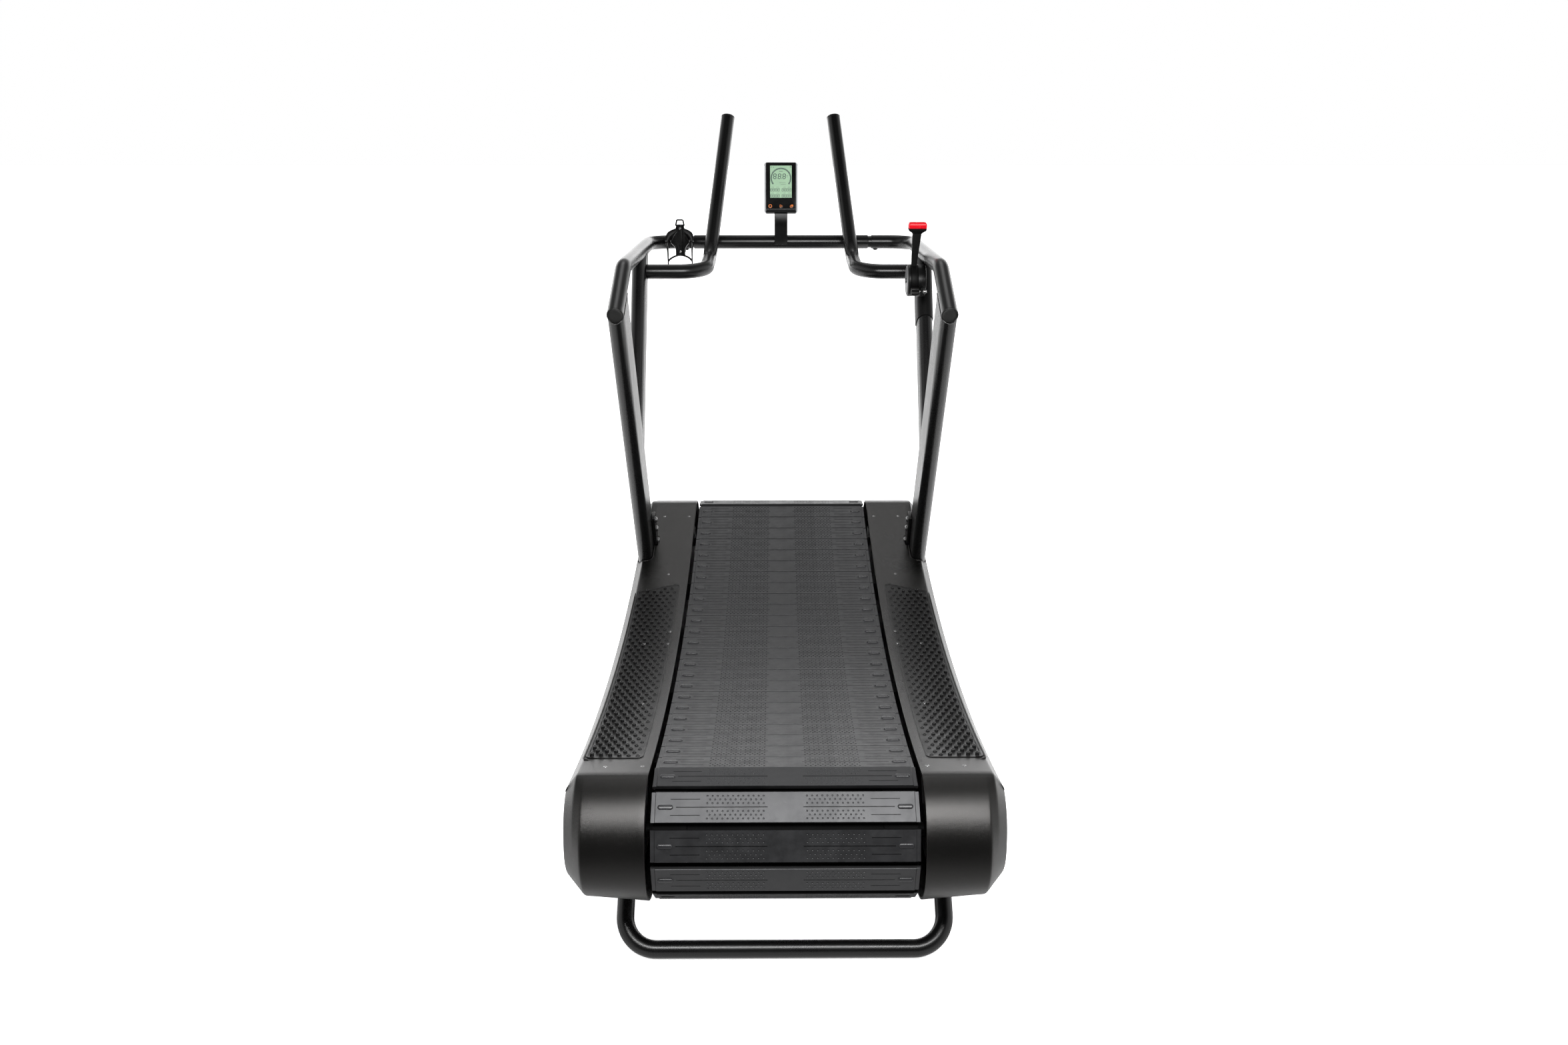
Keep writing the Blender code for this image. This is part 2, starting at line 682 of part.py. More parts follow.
def horn(sign, side):
    """Out of the post, forward under the crossbar, then up past it; capped at the tip."""
    corners = [
        (sign * UPRIGHT_INSIDE, *HORN_START),
        (sign * HORN_X, *HORN_START),
        (sign * HORN_X, 1.622, 1.177),
        (sign * HORN_TIP_X, 1.8300, 1.5510),
    ]
    path = corner_path(corners, [0.075, 0.080], 8)
    swept(f"{side}_horn", path, circle(RAIL_RADIUS, 20), UP, "powder_black")
    tip = path[-1]
    end_dir = (tip - path[-2]).normalized()
    cap = [tip + end_dir * CLEARANCE, tip + end_dir * 0.0038]
    swept(f"{side}_horn_cap", cap, circle(RAIL_CAP_RADIUS, 24), ACROSS, "black_plastic")


def centre_crossbar():
    turned("centre_crossbar", mirrored(CROSSBAR_HALF), BAR, 20, "powder_black")


# ---------------------------------------------------------------- console
# On the face, u runs across, v up it and w out of it, towards the user.
TILT = math.radians(17)
FACE_UP = Vector((0, math.sin(TILT), math.cos(TILT)))
FACE_OUT = Vector((0, -math.cos(TILT), math.sin(TILT)))
FACE_MIDDLE = Vector((0, 1.678, 1.3615))
HOUSING_HALF = 0.0465
SCREEN_HALF, SCREEN_LOW, SCREEN_TOP, SCREEN_CORNER = 0.0320, -0.0317, 0.0662, 0.002  # opening
KEYS = (("reset_key", -0.0300), ("start_key", 0.0), ("mode_key", 0.0300))  # name, u
KEY_V = -0.0518
KEY_RADIUS = 0.0058
RIM = (  # w, inset of each side, top, low
    (-0.004, 0.0015, 0.0735, -0.0735),
    (0.0, 0.0045, 0.0705, -0.0628),
)


def face_point(u, v, w):
    return tuple(FACE_MIDDLE + Vector((u, 0, 0)) + FACE_UP * v + FACE_OUT * w)


def face_slab(name, half_width, low, top, layers, corner, slot=None):
    """A round-cornered slab on the face; layers are (w, inset) pairs."""
    loops = []
    for w, inset in layers:
        radius = corner - inset
        right = half_width - inset - radius
        high_v, low_v = top - inset - radius, low + inset + radius
        loop = []
        middles = ((right, high_v), (-right, high_v), (-right, low_v), (right, low_v))
        for quarter, middle in enumerate(middles):
            for i in range(5):
                angle = math.radians(90 * quarter + 22.5 * i)
                loop.append(face_point(*polar(middle, radius, angle), w))
        loops.append(loop)
    return loft(name, loops, slot)


def face_disc(name, u, radius, w0, w1, slot=None):
    outline = circle(radius, 24, (u, KEY_V))
    return loft(name, [[face_point(*point, w) for point in outline] for w in (w0, w1)], slot)


def console_housing():
    layers = ((-0.034, 0.006), (-0.018, 0), (-0.002, 0))
    name = "console_housing"
    housing = face_slab(name, HOUSING_HALF, -0.075, 0.075, layers, 0.008, "black_plastic")
    rim = []
    for w, inset, top, low in RIM:
        half = HOUSING_HALF - inset
        corners = ((-half, low), (half, low), (half, top), (-half, top))
        rim.append([face_point(u, v, w) for u, v in corners])
    join(housing, loft("rim", rim))
    depth = ((-0.0045, 0), (0.01, 0))
    cutters = [face_slab("cutter", SCREEN_HALF, SCREEN_LOW, SCREEN_TOP, depth, SCREEN_CORNER)]
    for _, u in KEYS:
        cutters.append(face_disc("cutter", u, KEY_RADIUS + CLEARANCE, -0.0060, 0.01))
    cut(housing, *cutters)


def console_screen_and_keys():
    face_slab(
        "console_screen", SCREEN_HALF - CLEARANCE, SCREEN_LOW + CLEARANCE,
        SCREEN_TOP - CLEARANCE, ((-0.0042, 0), (-0.0010, 0)), SCREEN_CORNER - CLEARANCE, "lcd",
    )
    for name, u in KEYS:
        face_disc(name, u, KEY_RADIUS, -0.0045, 0.0006, "orange_print")


def console_neck():
    """A saddle over the crossbar, up to the bottom of the housing."""
    # Widened so that the flats between the points stay clear of the bar.
    radius = (RAIL_RADIUS + CLEARANCE) / math.cos(math.radians(9))
    outline = [polar(BAR, radius, math.radians(196 - 212 * i / 12)) for i in range(13)]
    outline += [
        (BAR[0] + 0.0260, BAR[1] - 0.0055),
        (BAR[0] + 0.0260, BAR[1] + 0.020),
        face_point(0, -0.0753, -0.031)[1:],
        face_point(0, -0.0753, -0.008)[1:],
        (BAR[0] - 0.0260, BAR[1] + 0.022),
        (BAR[0] - 0.0260, BAR[1] - 0.0055),
    ]
    prism("console_neck", outline, -0.0182, 0.0182, "black_plastic")


# ---------------------------------------------------------------- bottle cage
CAGE_X = -0.2850
CAGE_RADIUS = 0.0395
CAGE_Y = BAR[0] - 0.0335 - CAGE_RADIUS  # the shell's back rests on the clamp's pad
CAGE_WALL = 0.0035
CAGE_ROD_RADIUS = CAGE_RADIUS - 0.0018  # rods run in the middle of the wall
SHELL = [  # degrees from the back, low z, high z
    (0, 1.1470, 1.2640), (12, 1.1470, 1.2620), (22, 1.1500, 1.2480), (30, 1.1800, 1.2420),
    (48, 1.1880, 1.2380), (66, 1.1920, 1.2340), (84, 1.1980, 1.2260),
]
TOP_LOOP = ((-14, 1.250), (-9, 1.2880), (9, 1.2880), (14, 1.250))  # degrees, z
SIDE_ROD = ((80, 1.2080), (96, 1.1700), (108, 1.1385))  # degrees, z


def cage_clamp():
    name = "cage_clamp"
    clamp = cylinder(name, CAGE_X - 0.015, CAGE_X + 0.015, 0.0235, BAR, 24, "black_plastic")
    low = (CAGE_X - 0.0140, BAR[0] - 0.0330, BAR[1] - 0.026)
    high = (CAGE_X + 0.0140, BAR[0] - 0.0150, BAR[1] + 0.026)
    join(clamp, block("pad", low, high))
    bore(clamp, CAGE_X - 0.03, CAGE_X + 0.03, RAIL_RADIUS + CLEARANCE, BAR, 24)


def cage_point(degrees, z, radius=CAGE_ROD_RADIUS):
    """Around the bottle's axis: 0 degrees is at the back, on the clamp."""
    angle = math.radians(degrees)
    return (CAGE_X + radius * math.sin(angle), CAGE_Y + radius * math.cos(angle), z)


def bottle_cage():
    loops = []
    inside = CAGE_RADIUS - CAGE_WALL
    for degrees, low, high in [(-d, low, high) for d, low, high in SHELL[:0:-1]] + SHELL:
        corners = ((low, CAGE_RADIUS), (high, CAGE_RADIUS), (high, inside), (low, inside))
        loops.append([cage_point(degrees, z, radius) for z, radius in corners])
    cage = loft("bottle_cage", loops, "black_plastic")
    top_loop = corner_path([cage_point(*row) for row in TOP_LOOP], [0.003, 0.003], 3)
    ring = []
    for degrees in range(10, 351, 17):
        drop = 0.0085 * (1 - math.cos(math.radians(degrees)))
        ring.append(cage_point(degrees, 1.1500 - drop))
    rods = [
        swept("rod", top_loop, circle(0.0017, 8), ALONG),
        swept("rod", ring, circle(0.0026, 8), UP),
    ]
    for sign in (-1, 1):
        path = [cage_point(sign * degrees, z) for degrees, z in SIDE_ROD]
        rods.append(swept("rod", path, circle(0.0018, 8), ALONG))
    join(cage, *rods)


# ---------------------------------------------------------------- resistance lever
HUB = (1.285, 1.150)
ADJUSTER = (HUB[0] - 0.0455, HUB[1] - 0.0225)
HUB_PROFILE = [  # (x, radius): two cheeks with the lever's boss between them
    (0.3200, 0.0370), (0.3215, 0.0400), (0.3285, 0.0400), (0.3286, 0.0120),
    (0.3454, 0.0120), (0.3455, 0.0400), (0.3655, 0.0400),
]
ADJUSTER_STEM = [  # (x, radius)
    (0.3400, 0.0030), (0.3580, 0.0030), (0.3581, 0.0036), (0.3660, 0.0036),
]
LEVER_LEAN = math.radians(6)  # towards the rear
LEVER_UP = np.array([-math.sin(LEVER_LEAN), math.cos(LEVER_LEAN)])
LEVER_FORWARD = np.array([math.cos(LEVER_LEAN), math.sin(LEVER_LEAN)])
# Lever sections: height above the hub axis, x0, x1, half thickness
LEVER_STEM = (
    (0.030, 0.3295, 0.3430, 0.0075),
    (0.060, 0.3295, 0.3450, 0.0065),
    (0.1290, 0.3295, 0.3530, 0.0065),
)
LEVER_SKIRT = (
    (0.1150, 0.3285, 0.3540, 0.0075),
    (0.1295, 0.3200, 0.3625, 0.0115),
    (0.1325, 0.3190, 0.3640, 0.0120),
)
LEVER_CAP = (
    (0.1328, 0.3185, 0.3645, 0.0122),
    (0.1410, 0.3185, 0.3645, 0.0122),
    (0.1460, 0.3205, 0.3625, 0.0095),
    (0.1475, 0.3250, 0.3580, 0.0050),
)
SHROUD_SHORT = 0.0450
SHROUD_ARM = [  # (y, z)
    (1.290, 1.118), (1.375, 1.105), (1.400, 1.150), (1.345, 1.176), (1.290, 1.176),
]


def lever_hub():
    hub = turned("lever_hub", HUB_PROFILE, HUB, 32, "black_plastic")
    low = (0.3500, ADJUSTER[0] - 0.007, ADJUSTER[1] - 0.008)
    high = (0.3560, HUB[0] - 0.020, ADJUSTER[1] + 0.010)
    join(hub, block("lug", low, high))
    bore(hub, 0.34, 0.37, 0.0033, ADJUSTER, 20)


def cable_adjuster():
    ribs = []
    for i in range(32):
        radius = 0.0100 if i % 2 else 0.0090
        ribs.append(polar(ADJUSTER, radius, 2 * math.pi * i / 32))
    knob = prism("cable_adjuster", ribs, 0.3268, 0.3470, "black_plastic")
    join(knob, turned("stem", ADJUSTER_STEM, ADJUSTER, 20))


def lever_loft(name, sections, slot=None):
    loops = []
    for height, x0, x1, half in sections:
        centre = np.array(HUB) + LEVER_UP * height
        back = centre - LEVER_FORWARD * half
        front = centre + LEVER_FORWARD * half
        loops.append([(x0, *back), (x1, *back), (x1, *front), (x0, *front)])
    return loft(name, loops, slot)


def resistance_lever():
    lever = cylinder("resistance_lever", 0.3290, 0.3450, 0.0392, HUB, 32, "black_plastic")
    join(lever, lever_loft("stem", LEVER_STEM), lever_loft("skirt", LEVER_SKIRT))
    bore(lever, 0.30, 0.37, 0.0123, HUB, 32)
    lever_loft("lever_cap", LEVER_CAP, "red_plastic")


def lever_shroud():
    """A plastic sleeve on the right post, with the arm that holds the hub."""
    low_cut = (1.036 - POST_FOOT[1]) / POST_DIR[1]
    high_cut = (1.163 - POST_FOOT[1]) / POST_DIR[1]

    def arched_low(offset, foot):
        return low_cut + 0.016 * (1 - (offset / (SHROUD_SHORT / 2)) ** 2)

    shroud = coped(
        "lever_shroud", UPRIGHT_X, POST_FOOT, POST_DIR, 0.0880, SHROUD_SHORT,
        arched_low, lambda offset, foot: high_cut, "black_plastic",
    )
    join(shroud, prism("arm", SHROUD_ARM, 0.3460, 0.3640))
    sleeve_hole = coped(
        "cutter", UPRIGHT_X, POST_FOOT, POST_DIR, 0.0806, 0.0384,
        lambda offset, foot: low_cut - 0.08, lambda offset, foot: high_cut + 0.08,
    )
    hub_room = cylinder("cutter", 0.30, 0.40, 0.0405, HUB, 32)
    horn_room = cylinder("cutter", 0.30, 0.3750, 0.0196, HORN_START, 24)
    cut(shroud, sleeve_hole, hub_room, horn_room)


# ---------------------------------------------------------------- build
belt()
drum("rear_drum", REAR_AXIS, SHAFT_END)
drum("front_drum", FRONT_AXIS, BRAKE_SHAFT_END)
brake_disc()
magnet_bracket()
cross_members()
foot_tubes()

SIDE_PIECES = (
    side_frame, curve_rail, front_foot, transport_wheel, wheel_axle, side_cover, foot_pad,
    upright, front_post, upright_bracket, handrail, grip_cap, horn,
)
for side_sign, side_name in SIDES:
    for piece in SIDE_PIECES:
        piece(side_sign, side_name)
    for axis_name, drum_axis in AXES:
        bearing(side_sign, side_name, axis_name, drum_axis)

centre_crossbar()
console_housing()
console_screen_and_keys()
console_neck()
cage_clamp()
bottle_cage()
lever_hub()
cable_adjuster()
resistance_lever()
lever_shroud()
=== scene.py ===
"""Curved manual treadmill: its looks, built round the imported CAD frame.

X runs across, Y forward and Z up, in metres. Left is -X and the console faces
the rear. Places are in CAD lengths, where the rear drum is near y = 0.1; meshes
are shifted by -MIDDLE_Y so that the origin is under the middle of the machine.
Points in pairs are (y, z) in side view.
"""

import json
import math

import bmesh
import bpy
import numpy as np
from mathutils import Matrix, Vector

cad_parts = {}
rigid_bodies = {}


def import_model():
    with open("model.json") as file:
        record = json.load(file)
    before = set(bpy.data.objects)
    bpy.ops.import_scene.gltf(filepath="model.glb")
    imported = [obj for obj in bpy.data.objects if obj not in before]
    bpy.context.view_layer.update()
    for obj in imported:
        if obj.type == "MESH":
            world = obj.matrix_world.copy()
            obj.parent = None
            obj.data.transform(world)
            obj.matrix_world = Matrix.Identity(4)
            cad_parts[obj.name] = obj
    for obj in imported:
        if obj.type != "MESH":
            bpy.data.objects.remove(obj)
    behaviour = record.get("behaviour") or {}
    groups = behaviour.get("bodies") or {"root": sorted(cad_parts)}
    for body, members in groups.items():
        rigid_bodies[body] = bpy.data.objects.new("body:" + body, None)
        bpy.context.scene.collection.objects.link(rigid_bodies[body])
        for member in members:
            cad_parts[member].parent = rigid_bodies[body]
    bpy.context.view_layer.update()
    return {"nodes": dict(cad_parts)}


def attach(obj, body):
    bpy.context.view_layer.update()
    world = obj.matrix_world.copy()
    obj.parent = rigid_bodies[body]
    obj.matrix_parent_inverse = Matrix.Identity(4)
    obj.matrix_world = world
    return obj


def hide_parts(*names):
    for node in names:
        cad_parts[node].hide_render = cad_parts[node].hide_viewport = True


for old in list(bpy.data.objects):
    bpy.data.objects.remove(old, do_unlink=True)

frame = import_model()

SIDES = ((-1, "left"), (1, "right"))
MIDDLE_Y = 0.9165

# Belt loop: two drums and the arc of the sagging run between them.
REAR_DRUM = np.array([0.115, 0.270])
FRONT_DRUM = np.array([1.580, 0.3484])
ARC_CENTRE = np.array([0.6713, 3.6055])
PITCH_R = 0.105
RUN_R = 3.2765
SLAT_COUNT = 60
SLAT_LENGTH = 0.0568  # along the travel
SLAT_TOP = 0.0165  # heights above the pitch line
SLAT_UNDER = 0.0085
BAND = 0.003
DECK_R = RUN_R - SLAT_TOP
REAR_CASING = 0.129  # cover radius round each drum
FRONT_CASING = 0.1238

# Tubes.
RAIL_R = 0.019
RAIL_ROOM = RAIL_R + 0.0002
UPRIGHT_X = 0.374
UPRIGHT_FOOT = np.array([1.377, 0.330])
LEAN = np.array([-0.5002, 0.8659])  # up the upright
LEAN_SIDE = np.array([0.8659, 0.5002])  # square to it, forward
UPRIGHT_SIZE = (0.120, 0.038)
POST_FOOT = np.array([1.170, 0.735])
POST_SIZE = (0.080, 0.0376)
GRIP_END = np.array([0.857, 1.120])
GRIP_BEND = np.array([1.045, 1.2085])
BAR_Y, BAR_Z = 1.700, 1.213
HORN_ROOT = (1.395, 1.161)
FOOT_X = 0.309
FRONT_BAR = (1.600, 0.040)


# ================================================================ materials
class Graph:
    """A shader graph, built with one call per node."""

    def __init__(self, owner):
        owner.use_nodes = True
        self.tree = owner.node_tree

    def set(self, socket, value):
        if isinstance(value, bpy.types.NodeSocket):
            self.tree.links.new(value, socket)
        else:
            socket.default_value = value

    def add(self, kind, **inputs):
        node = self.tree.nodes.new(kind)
        for key, value in inputs.items():
            self.set(node.inputs[key.replace("_", " ")], value)
        return node

    def math(self, operation, first, second=0.0):
        node = self.tree.nodes.new("ShaderNodeMath")
        node.operation = operation
        self.set(node.inputs[0], first)
        self.set(node.inputs[1], second)
        return node.outputs[0]

    def remap(self, value, span, to=(0.0, 1.0), blend="LINEAR"):
        node = self.add("ShaderNodeMapRange", Value=value, From_Min=span[0], From_Max=span[1],
                        To_Min=to[0], To_Max=to[1])
        node.interpolation_type = blend
        return node.outputs["Result"]


def rgba(shade):
    """A grey level or an RGB triple as RGBA."""
    return (*shade, 1) if isinstance(shade, tuple) else (shade, shade, shade, 1)


class Material(Graph):
    """A principled material with textures in object coordinates."""

    def __init__(self, name):
        self.material = bpy.data.materials.new(name)
        super().__init__(self.material)
        self.coord = self.add("ShaderNodeTexCoord").outputs["Object"]

    def noise(self, scale, detail=3.0, rough=0.5, coord=None):
        return self.add("ShaderNodeTexNoise", Vector=coord or self.coord, Scale=scale,
                        Detail=detail, Roughness=rough).outputs["Fac"]

    def blend(self, first, share, second):
        """A share of the first value and the rest of the second."""
        return self.math("ADD", self.math("MULTIPLY", first, share),
                         self.math("MULTIPLY", second, 1 - share))

    def tint(self, value, dark, light, span=(0.35, 0.65)):
        factor = self.remap(value, span)
        node = self.tree.nodes.new("ShaderNodeMix")
        node.data_type = "RGBA"
        self.set(node.inputs[0], factor)
        self.set(node.inputs[6], rgba(dark))
        self.set(node.inputs[7], rgba(light))
        return node.outputs[2]

    def bump(self, height, strength, distance=0.0003, **under):
        return self.add("ShaderNodeBump", Height=height, Strength=strength, Distance=distance,
                        **under).outputs["Normal"]

    def out(self, **values):
        bsdf = self.tree.nodes["Principled BSDF"]
        for key, value in values.items():
            self.set(bsdf.inputs[key.replace("_", " ")], value)
        return self.material


def powder_coat():
    """Satin black powder coat: orange peel and dust-fine grain."""
    mat = Material("powder_coat_black")
    peel = mat.noise(scale=620.0, detail=2.0)
    grain = mat.noise(scale=2600.0, detail=1.0)
    cloud = mat.noise(scale=7.0)
    coarse = mat.bump(peel, strength=0.16, distance=0.0006)
    return mat.out(
        Base_Color=mat.tint(cloud, (0.0026, 0.0026, 0.0027), (0.0040, 0.0040, 0.0042)),
        Normal=mat.bump(grain, strength=0.10, Normal=coarse),
        Roughness=mat.remap(mat.blend(peel, 0.35, cloud), span=(0.3, 0.7), to=(0.25, 0.31)),
        Specular_IOR_Level=0.5,
    )


def cover_plastic():
    """Spark-textured moulded covers, dark warm grey with slight handling marks."""
    mat = Material("textured_cover_plastic")
    spark = mat.noise(scale=1350.0, detail=2.0, rough=0.6)
    broad = mat.noise(scale=420.0, detail=2.0)
    cloud = mat.noise(scale=4.5, detail=4.0, rough=0.6)
    coarse = mat.bump(broad, strength=0.05, distance=0.0008)
    return mat.out(
        Base_Color=mat.tint(cloud, (0.0034, 0.0033, 0.0031), (0.0050, 0.0048, 0.0046),
                            span=(0.3, 0.7)),
        Normal=mat.bump(spark, strength=0.42, distance=0.0006, Normal=coarse),
        Roughness=mat.remap(mat.blend(spark, 0.3, cloud), span=(0.3, 0.7), to=(0.26, 0.32)),
        Specular_Tint=(1.0, 0.975, 0.955, 1.0),
    )


def belt_rubber(index, shade):
    """Moulded rubber slat face. Each batch differs a little in shade."""
    mat = Material(f"slat_rubber_{index}")
    skin = mat.noise(scale=900.0, rough=0.6)
    scuff = mat.noise(scale=38.0, detail=4.0, rough=0.65)
    wear = mat.noise(scale=9.0)
    dark = tuple(level * shade for level in (0.0084, 0.0085, 0.0092))
    light = tuple(level * shade for level in (0.0124, 0.0126, 0.0136))
    return mat.out(
        Base_Color=mat.tint(mat.blend(scuff, 0.45, wear), dark, light, span=(0.36, 0.64)),
        Normal=mat.bump(skin, strength=0.22, distance=0.0004),
        Roughness=mat.remap(scuff, span=(0.35, 0.65), to=(0.40, 0.50)),
        Specular_IOR_Level=0.80,
        Specular_Tint=(0.975, 0.98, 1.0, 1.0),
    )


def pad_rubber():
    mat = Material("foot_pad_rubber")
    skin = mat.noise(scale=700.0, rough=0.6)
    scuff = mat.noise(scale=30.0, detail=4.0, rough=0.65)
    return mat.out(
        Base_Color=mat.tint(scuff, (0.0026, 0.0025, 0.0024), (0.0042, 0.0041, 0.0039)),
        Roughness=mat.remap(scuff, span=(0.35, 0.65), to=(0.38, 0.50)),
        Normal=mat.bump(skin, strength=0.18, distance=0.0004),
    )


def dark_rubber():
    mat = Material("carrier_rubber")
    skin = mat.noise(scale=500.0, rough=0.6)
    return mat.out(
        Base_Color=mat.tint(mat.noise(scale=20.0), 0.0014, 0.0028),
        Roughness=0.85,
        Specular_IOR_Level=0.12,
        Normal=mat.bump(skin, strength=0.25, distance=0.0004),
    )


def smooth_plastic(name, dark, light, rough, fine=1300.0, gloss=0.5):
    """Plastic or rubber between two shades; fine is the scale of its skin."""
    mat = Material(name)
    skin = mat.noise(scale=fine, detail=2.0, rough=0.6)
    cloud = mat.noise(scale=14.0)
    return mat.out(
        Base_Color=mat.tint(cloud, dark, light),
        Roughness=mat.remap(cloud, span=(0.35, 0.65), to=rough),
        Normal=mat.bump(skin, strength=0.12),
        Specular_IOR_Level=gloss,
    )


def metal(name, dark, light, rough, stretch=(1.0, 1.0, 1.0), scale=900.0):
    """Bare or plated metal with fine machining lines along the stretched axes."""
    mat = Material(name)
    mapping = mat.add("ShaderNodeMapping", Vector=mat.coord, Scale=stretch)
    lines = mat.noise(scale=scale, rough=0.6, coord=mapping.outputs["Vector"])
    return mat.out(
        Base_Color=mat.tint(mat.noise(scale=25.0), dark, light),
        Metallic=1.0,
        Roughness=mat.remap(lines, span=(0.3, 0.7), to=rough),
        Normal=mat.bump(lines, strength=0.12),
    )


def lcd_glass():
    """Pale green reflective display: faint cells under a glossy window, with a faint painted glow
    standing in for the light it reflects.
    """
    mat = Material("lcd_green_painted_glow")
    cloud = mat.noise(scale=26.0, detail=2.0)
    cells = mat.add("ShaderNodeTexVoronoi", Vector=mat.coord, Scale=1500.0)
    base = mat.tint(mat.blend(cloud, 0.9, cells.outputs["Distance"]),
                    (0.365, 0.560, 0.375), (0.425, 0.625, 0.425), span=(0.3, 0.7))
    # Painted glow: the window's colour is also given as emission, standing in for the light it
    # reflects.
    return mat.out(Base_Color=base, Roughness=0.32, Coat_Weight=0.25, Coat_Roughness=0.12,
                   Emission_Color=base, Emission_Strength=0.24)


POWDER = powder_coat()
COVER = cover_plastic()
SLAT_RUBBERS = [belt_rubber(i, shade) for i, shade in enumerate((0.90, 1.0, 1.08, 0.96))]
PAD = pad_rubber()
CARRIER = dark_rubber()
BLACK = smooth_plastic("black_moulded_plastic", 0.0026, 0.0044, rough=(0.30, 0.40), gloss=0.32)
MATTE = smooth_plastic("matte_black_plastic", 0.0020, 0.0032, rough=(0.42, 0.52), gloss=0.18)
GLOSS = smooth_plastic("gloss_black_plastic", 0.005, 0.007, rough=(0.12, 0.2))
CAP = smooth_plastic("cap_plastic", (0.0036, 0.0036, 0.0034), (0.0060, 0.0060, 0.0056),
                     rough=(0.40, 0.48))
RED = smooth_plastic("red_plastic", (0.92, 0.002, 0.012), (1.0, 0.004, 0.018),
                     rough=(0.20, 0.28))
# Painted reflection: light grey for the console's sloping side strips, standing in for the light
# they reflect.
SIDE_REFLECTION_GREY = smooth_plastic("painted_reflection_grey", (0.40, 0.41, 0.43), (0.47, 0.48, 0.50),
                       rough=(0.30, 0.40))
GREY_PLASTIC = smooth_plastic("grey_bezel_plastic", (0.16, 0.16, 0.165), (0.21, 0.21, 0.215),
                              rough=(0.3, 0.4))
ORANGE = smooth_plastic("orange_print", (0.96, 0.215, 0.010), (1.0, 0.27, 0.018),
                        rough=(0.4, 0.5))
INK_DARK = smooth_plastic("lcd_digit_ink", (0.010, 0.034, 0.040), (0.018, 0.048, 0.054),
                          rough=(0.4, 0.5))
INK = smooth_plastic("lcd_segment_ink", (0.026, 0.058, 0.062), (0.040, 0.078, 0.082),
                     rough=(0.4, 0.5))
ZINC = metal("zinc_plated_steel", (0.55, 0.55, 0.54), (0.66, 0.66, 0.65), rough=(0.22, 0.34))
# Painted shade: darker rubber for the slats' moulded lines and sides, standing in for the shade
# in them.
RECESS_SHADE = smooth_plastic("rubber_recess_painted_shade", (0.0028, 0.0028, 0.0030), (0.0046, 0.0046, 0.0049),
                        rough=(0.50, 0.60), fine=700.0, gloss=0.25)
# Painted shade: darker rubber for the dimples on the runs, standing in for the shade in them.
DIMPLE_SHADE = smooth_plastic("dimple_painted_shade", (0.0032, 0.0032, 0.0034), (0.0050, 0.0050, 0.0053),
                        rough=(0.50, 0.60), fine=700.0, gloss=0.25)
BAR = smooth_plastic("slat_end_bar", (0.020, 0.020, 0.022), (0.028, 0.028, 0.030),
                     rough=(0.22, 0.30), fine=700.0)
SCREW = metal("blackened_zinc", 0.30, 0.42, rough=(0.20, 0.32))
STUD = smooth_plastic("stud_rubber", 0.0020, 0.0034, rough=(0.30, 0.38), fine=700.0)
DARK_STEEL = metal("black_oxide_steel", 0.07, 0.11, rough=(0.26, 0.38))
ALU = metal("turned_aluminium", (0.62, 0.62, 0.64), (0.74, 0.74, 0.76), rough=(0.24, 0.36),
            stretch=(8.0, 0.6, 0.6), scale=260.0)
TYRE = smooth_plastic("wheel_rubber", 0.014, 0.022, rough=(0.5, 0.62), fine=700.0)


# ================================================================ outlines
def circle(radius, steps=48, centre=(0.0, 0.0)):
    angles = [2 * math.pi * i / steps for i in range(steps)]
    return [(centre[0] + radius * math.cos(a), centre[1] + radius * math.sin(a)) for a in angles]


def oval(long, short, steps=20):
    """Round-ended slot shape, long in its second coordinate."""
    radius = short / 2
    points = []
    for begin, straight in ((0.0, long / 2 - radius), (math.pi, radius - long / 2)):
        for i in range(steps + 1):
            angle = begin + math.pi * i / steps
            points.append((radius * math.cos(angle), straight + radius * math.sin(angle)))
    return points


def box(x0, z0, x1, z1):
    return [(x0, z0), (x1, z0), (x1, z1), (x0, z1)]


def round_box(x0, z0, x1, z1, corner, steps):
    points = []
    centres = ((x1 - corner, z1 - corner), (x0 + corner, z1 - corner),
               (x0 + corner, z0 + corner), (x1 - corner, z0 + corner))
    for quarter, (x, z) in enumerate(centres):
        for i in range(steps + 1):
            angle = math.radians(90.0 * quarter + 90.0 * i / steps)
            points.append((x + corner * math.cos(angle), z + corner * math.sin(angle)))
    return points


def corner_arc(before, corner, after, radius, steps):
    """The arc that rounds a corner between two straight legs."""
    back = (before - corner).normalized()
    ahead = (after - corner).normalized()
    half = back.angle(ahead) / 2
    reach = radius / math.tan(half)
    centre = corner + (back + ahead).normalized() * (radius / math.sin(half))
    start = corner + back * reach - centre
    end = corner + ahead * reach - centre
    swing = start.angle(end)
    arc = []
    for i in range(steps + 1):
        t = i / steps
        spoke = start * math.sin((1 - t) * swing) + end * math.sin(t * swing)
        arc.append(centre + spoke / math.sin(swing))
    return arc


def corner_path(corners, radii, steps=20):
    """An open path with its inner corners rounded."""
    points = [Vector(corner) for corner in corners]
    path = [points[0]]
    for k, radius in enumerate(radii):
        path += corner_arc(*points[k : k + 3], radius, steps)
    return path + [points[-1]]


def rounded(polygon, radius):
    """A flat polygon with rounded corners."""
    points = [Vector(point).to_3d() for point in polygon]
    path = []
    for k, corner in enumerate(points):
        after = points[(k + 1) % len(points)]
        path += [(q.x, q.y) for q in corner_arc(points[k - 1], corner, after, radius, 5)]
    return path


def unit(angle):
    return np.array([math.cos(angle), math.sin(angle)])


def heading(vector):
    return math.atan2(vector[1], vector[0])


def normalised(vector):
    return vector / np.hypot(*vector)


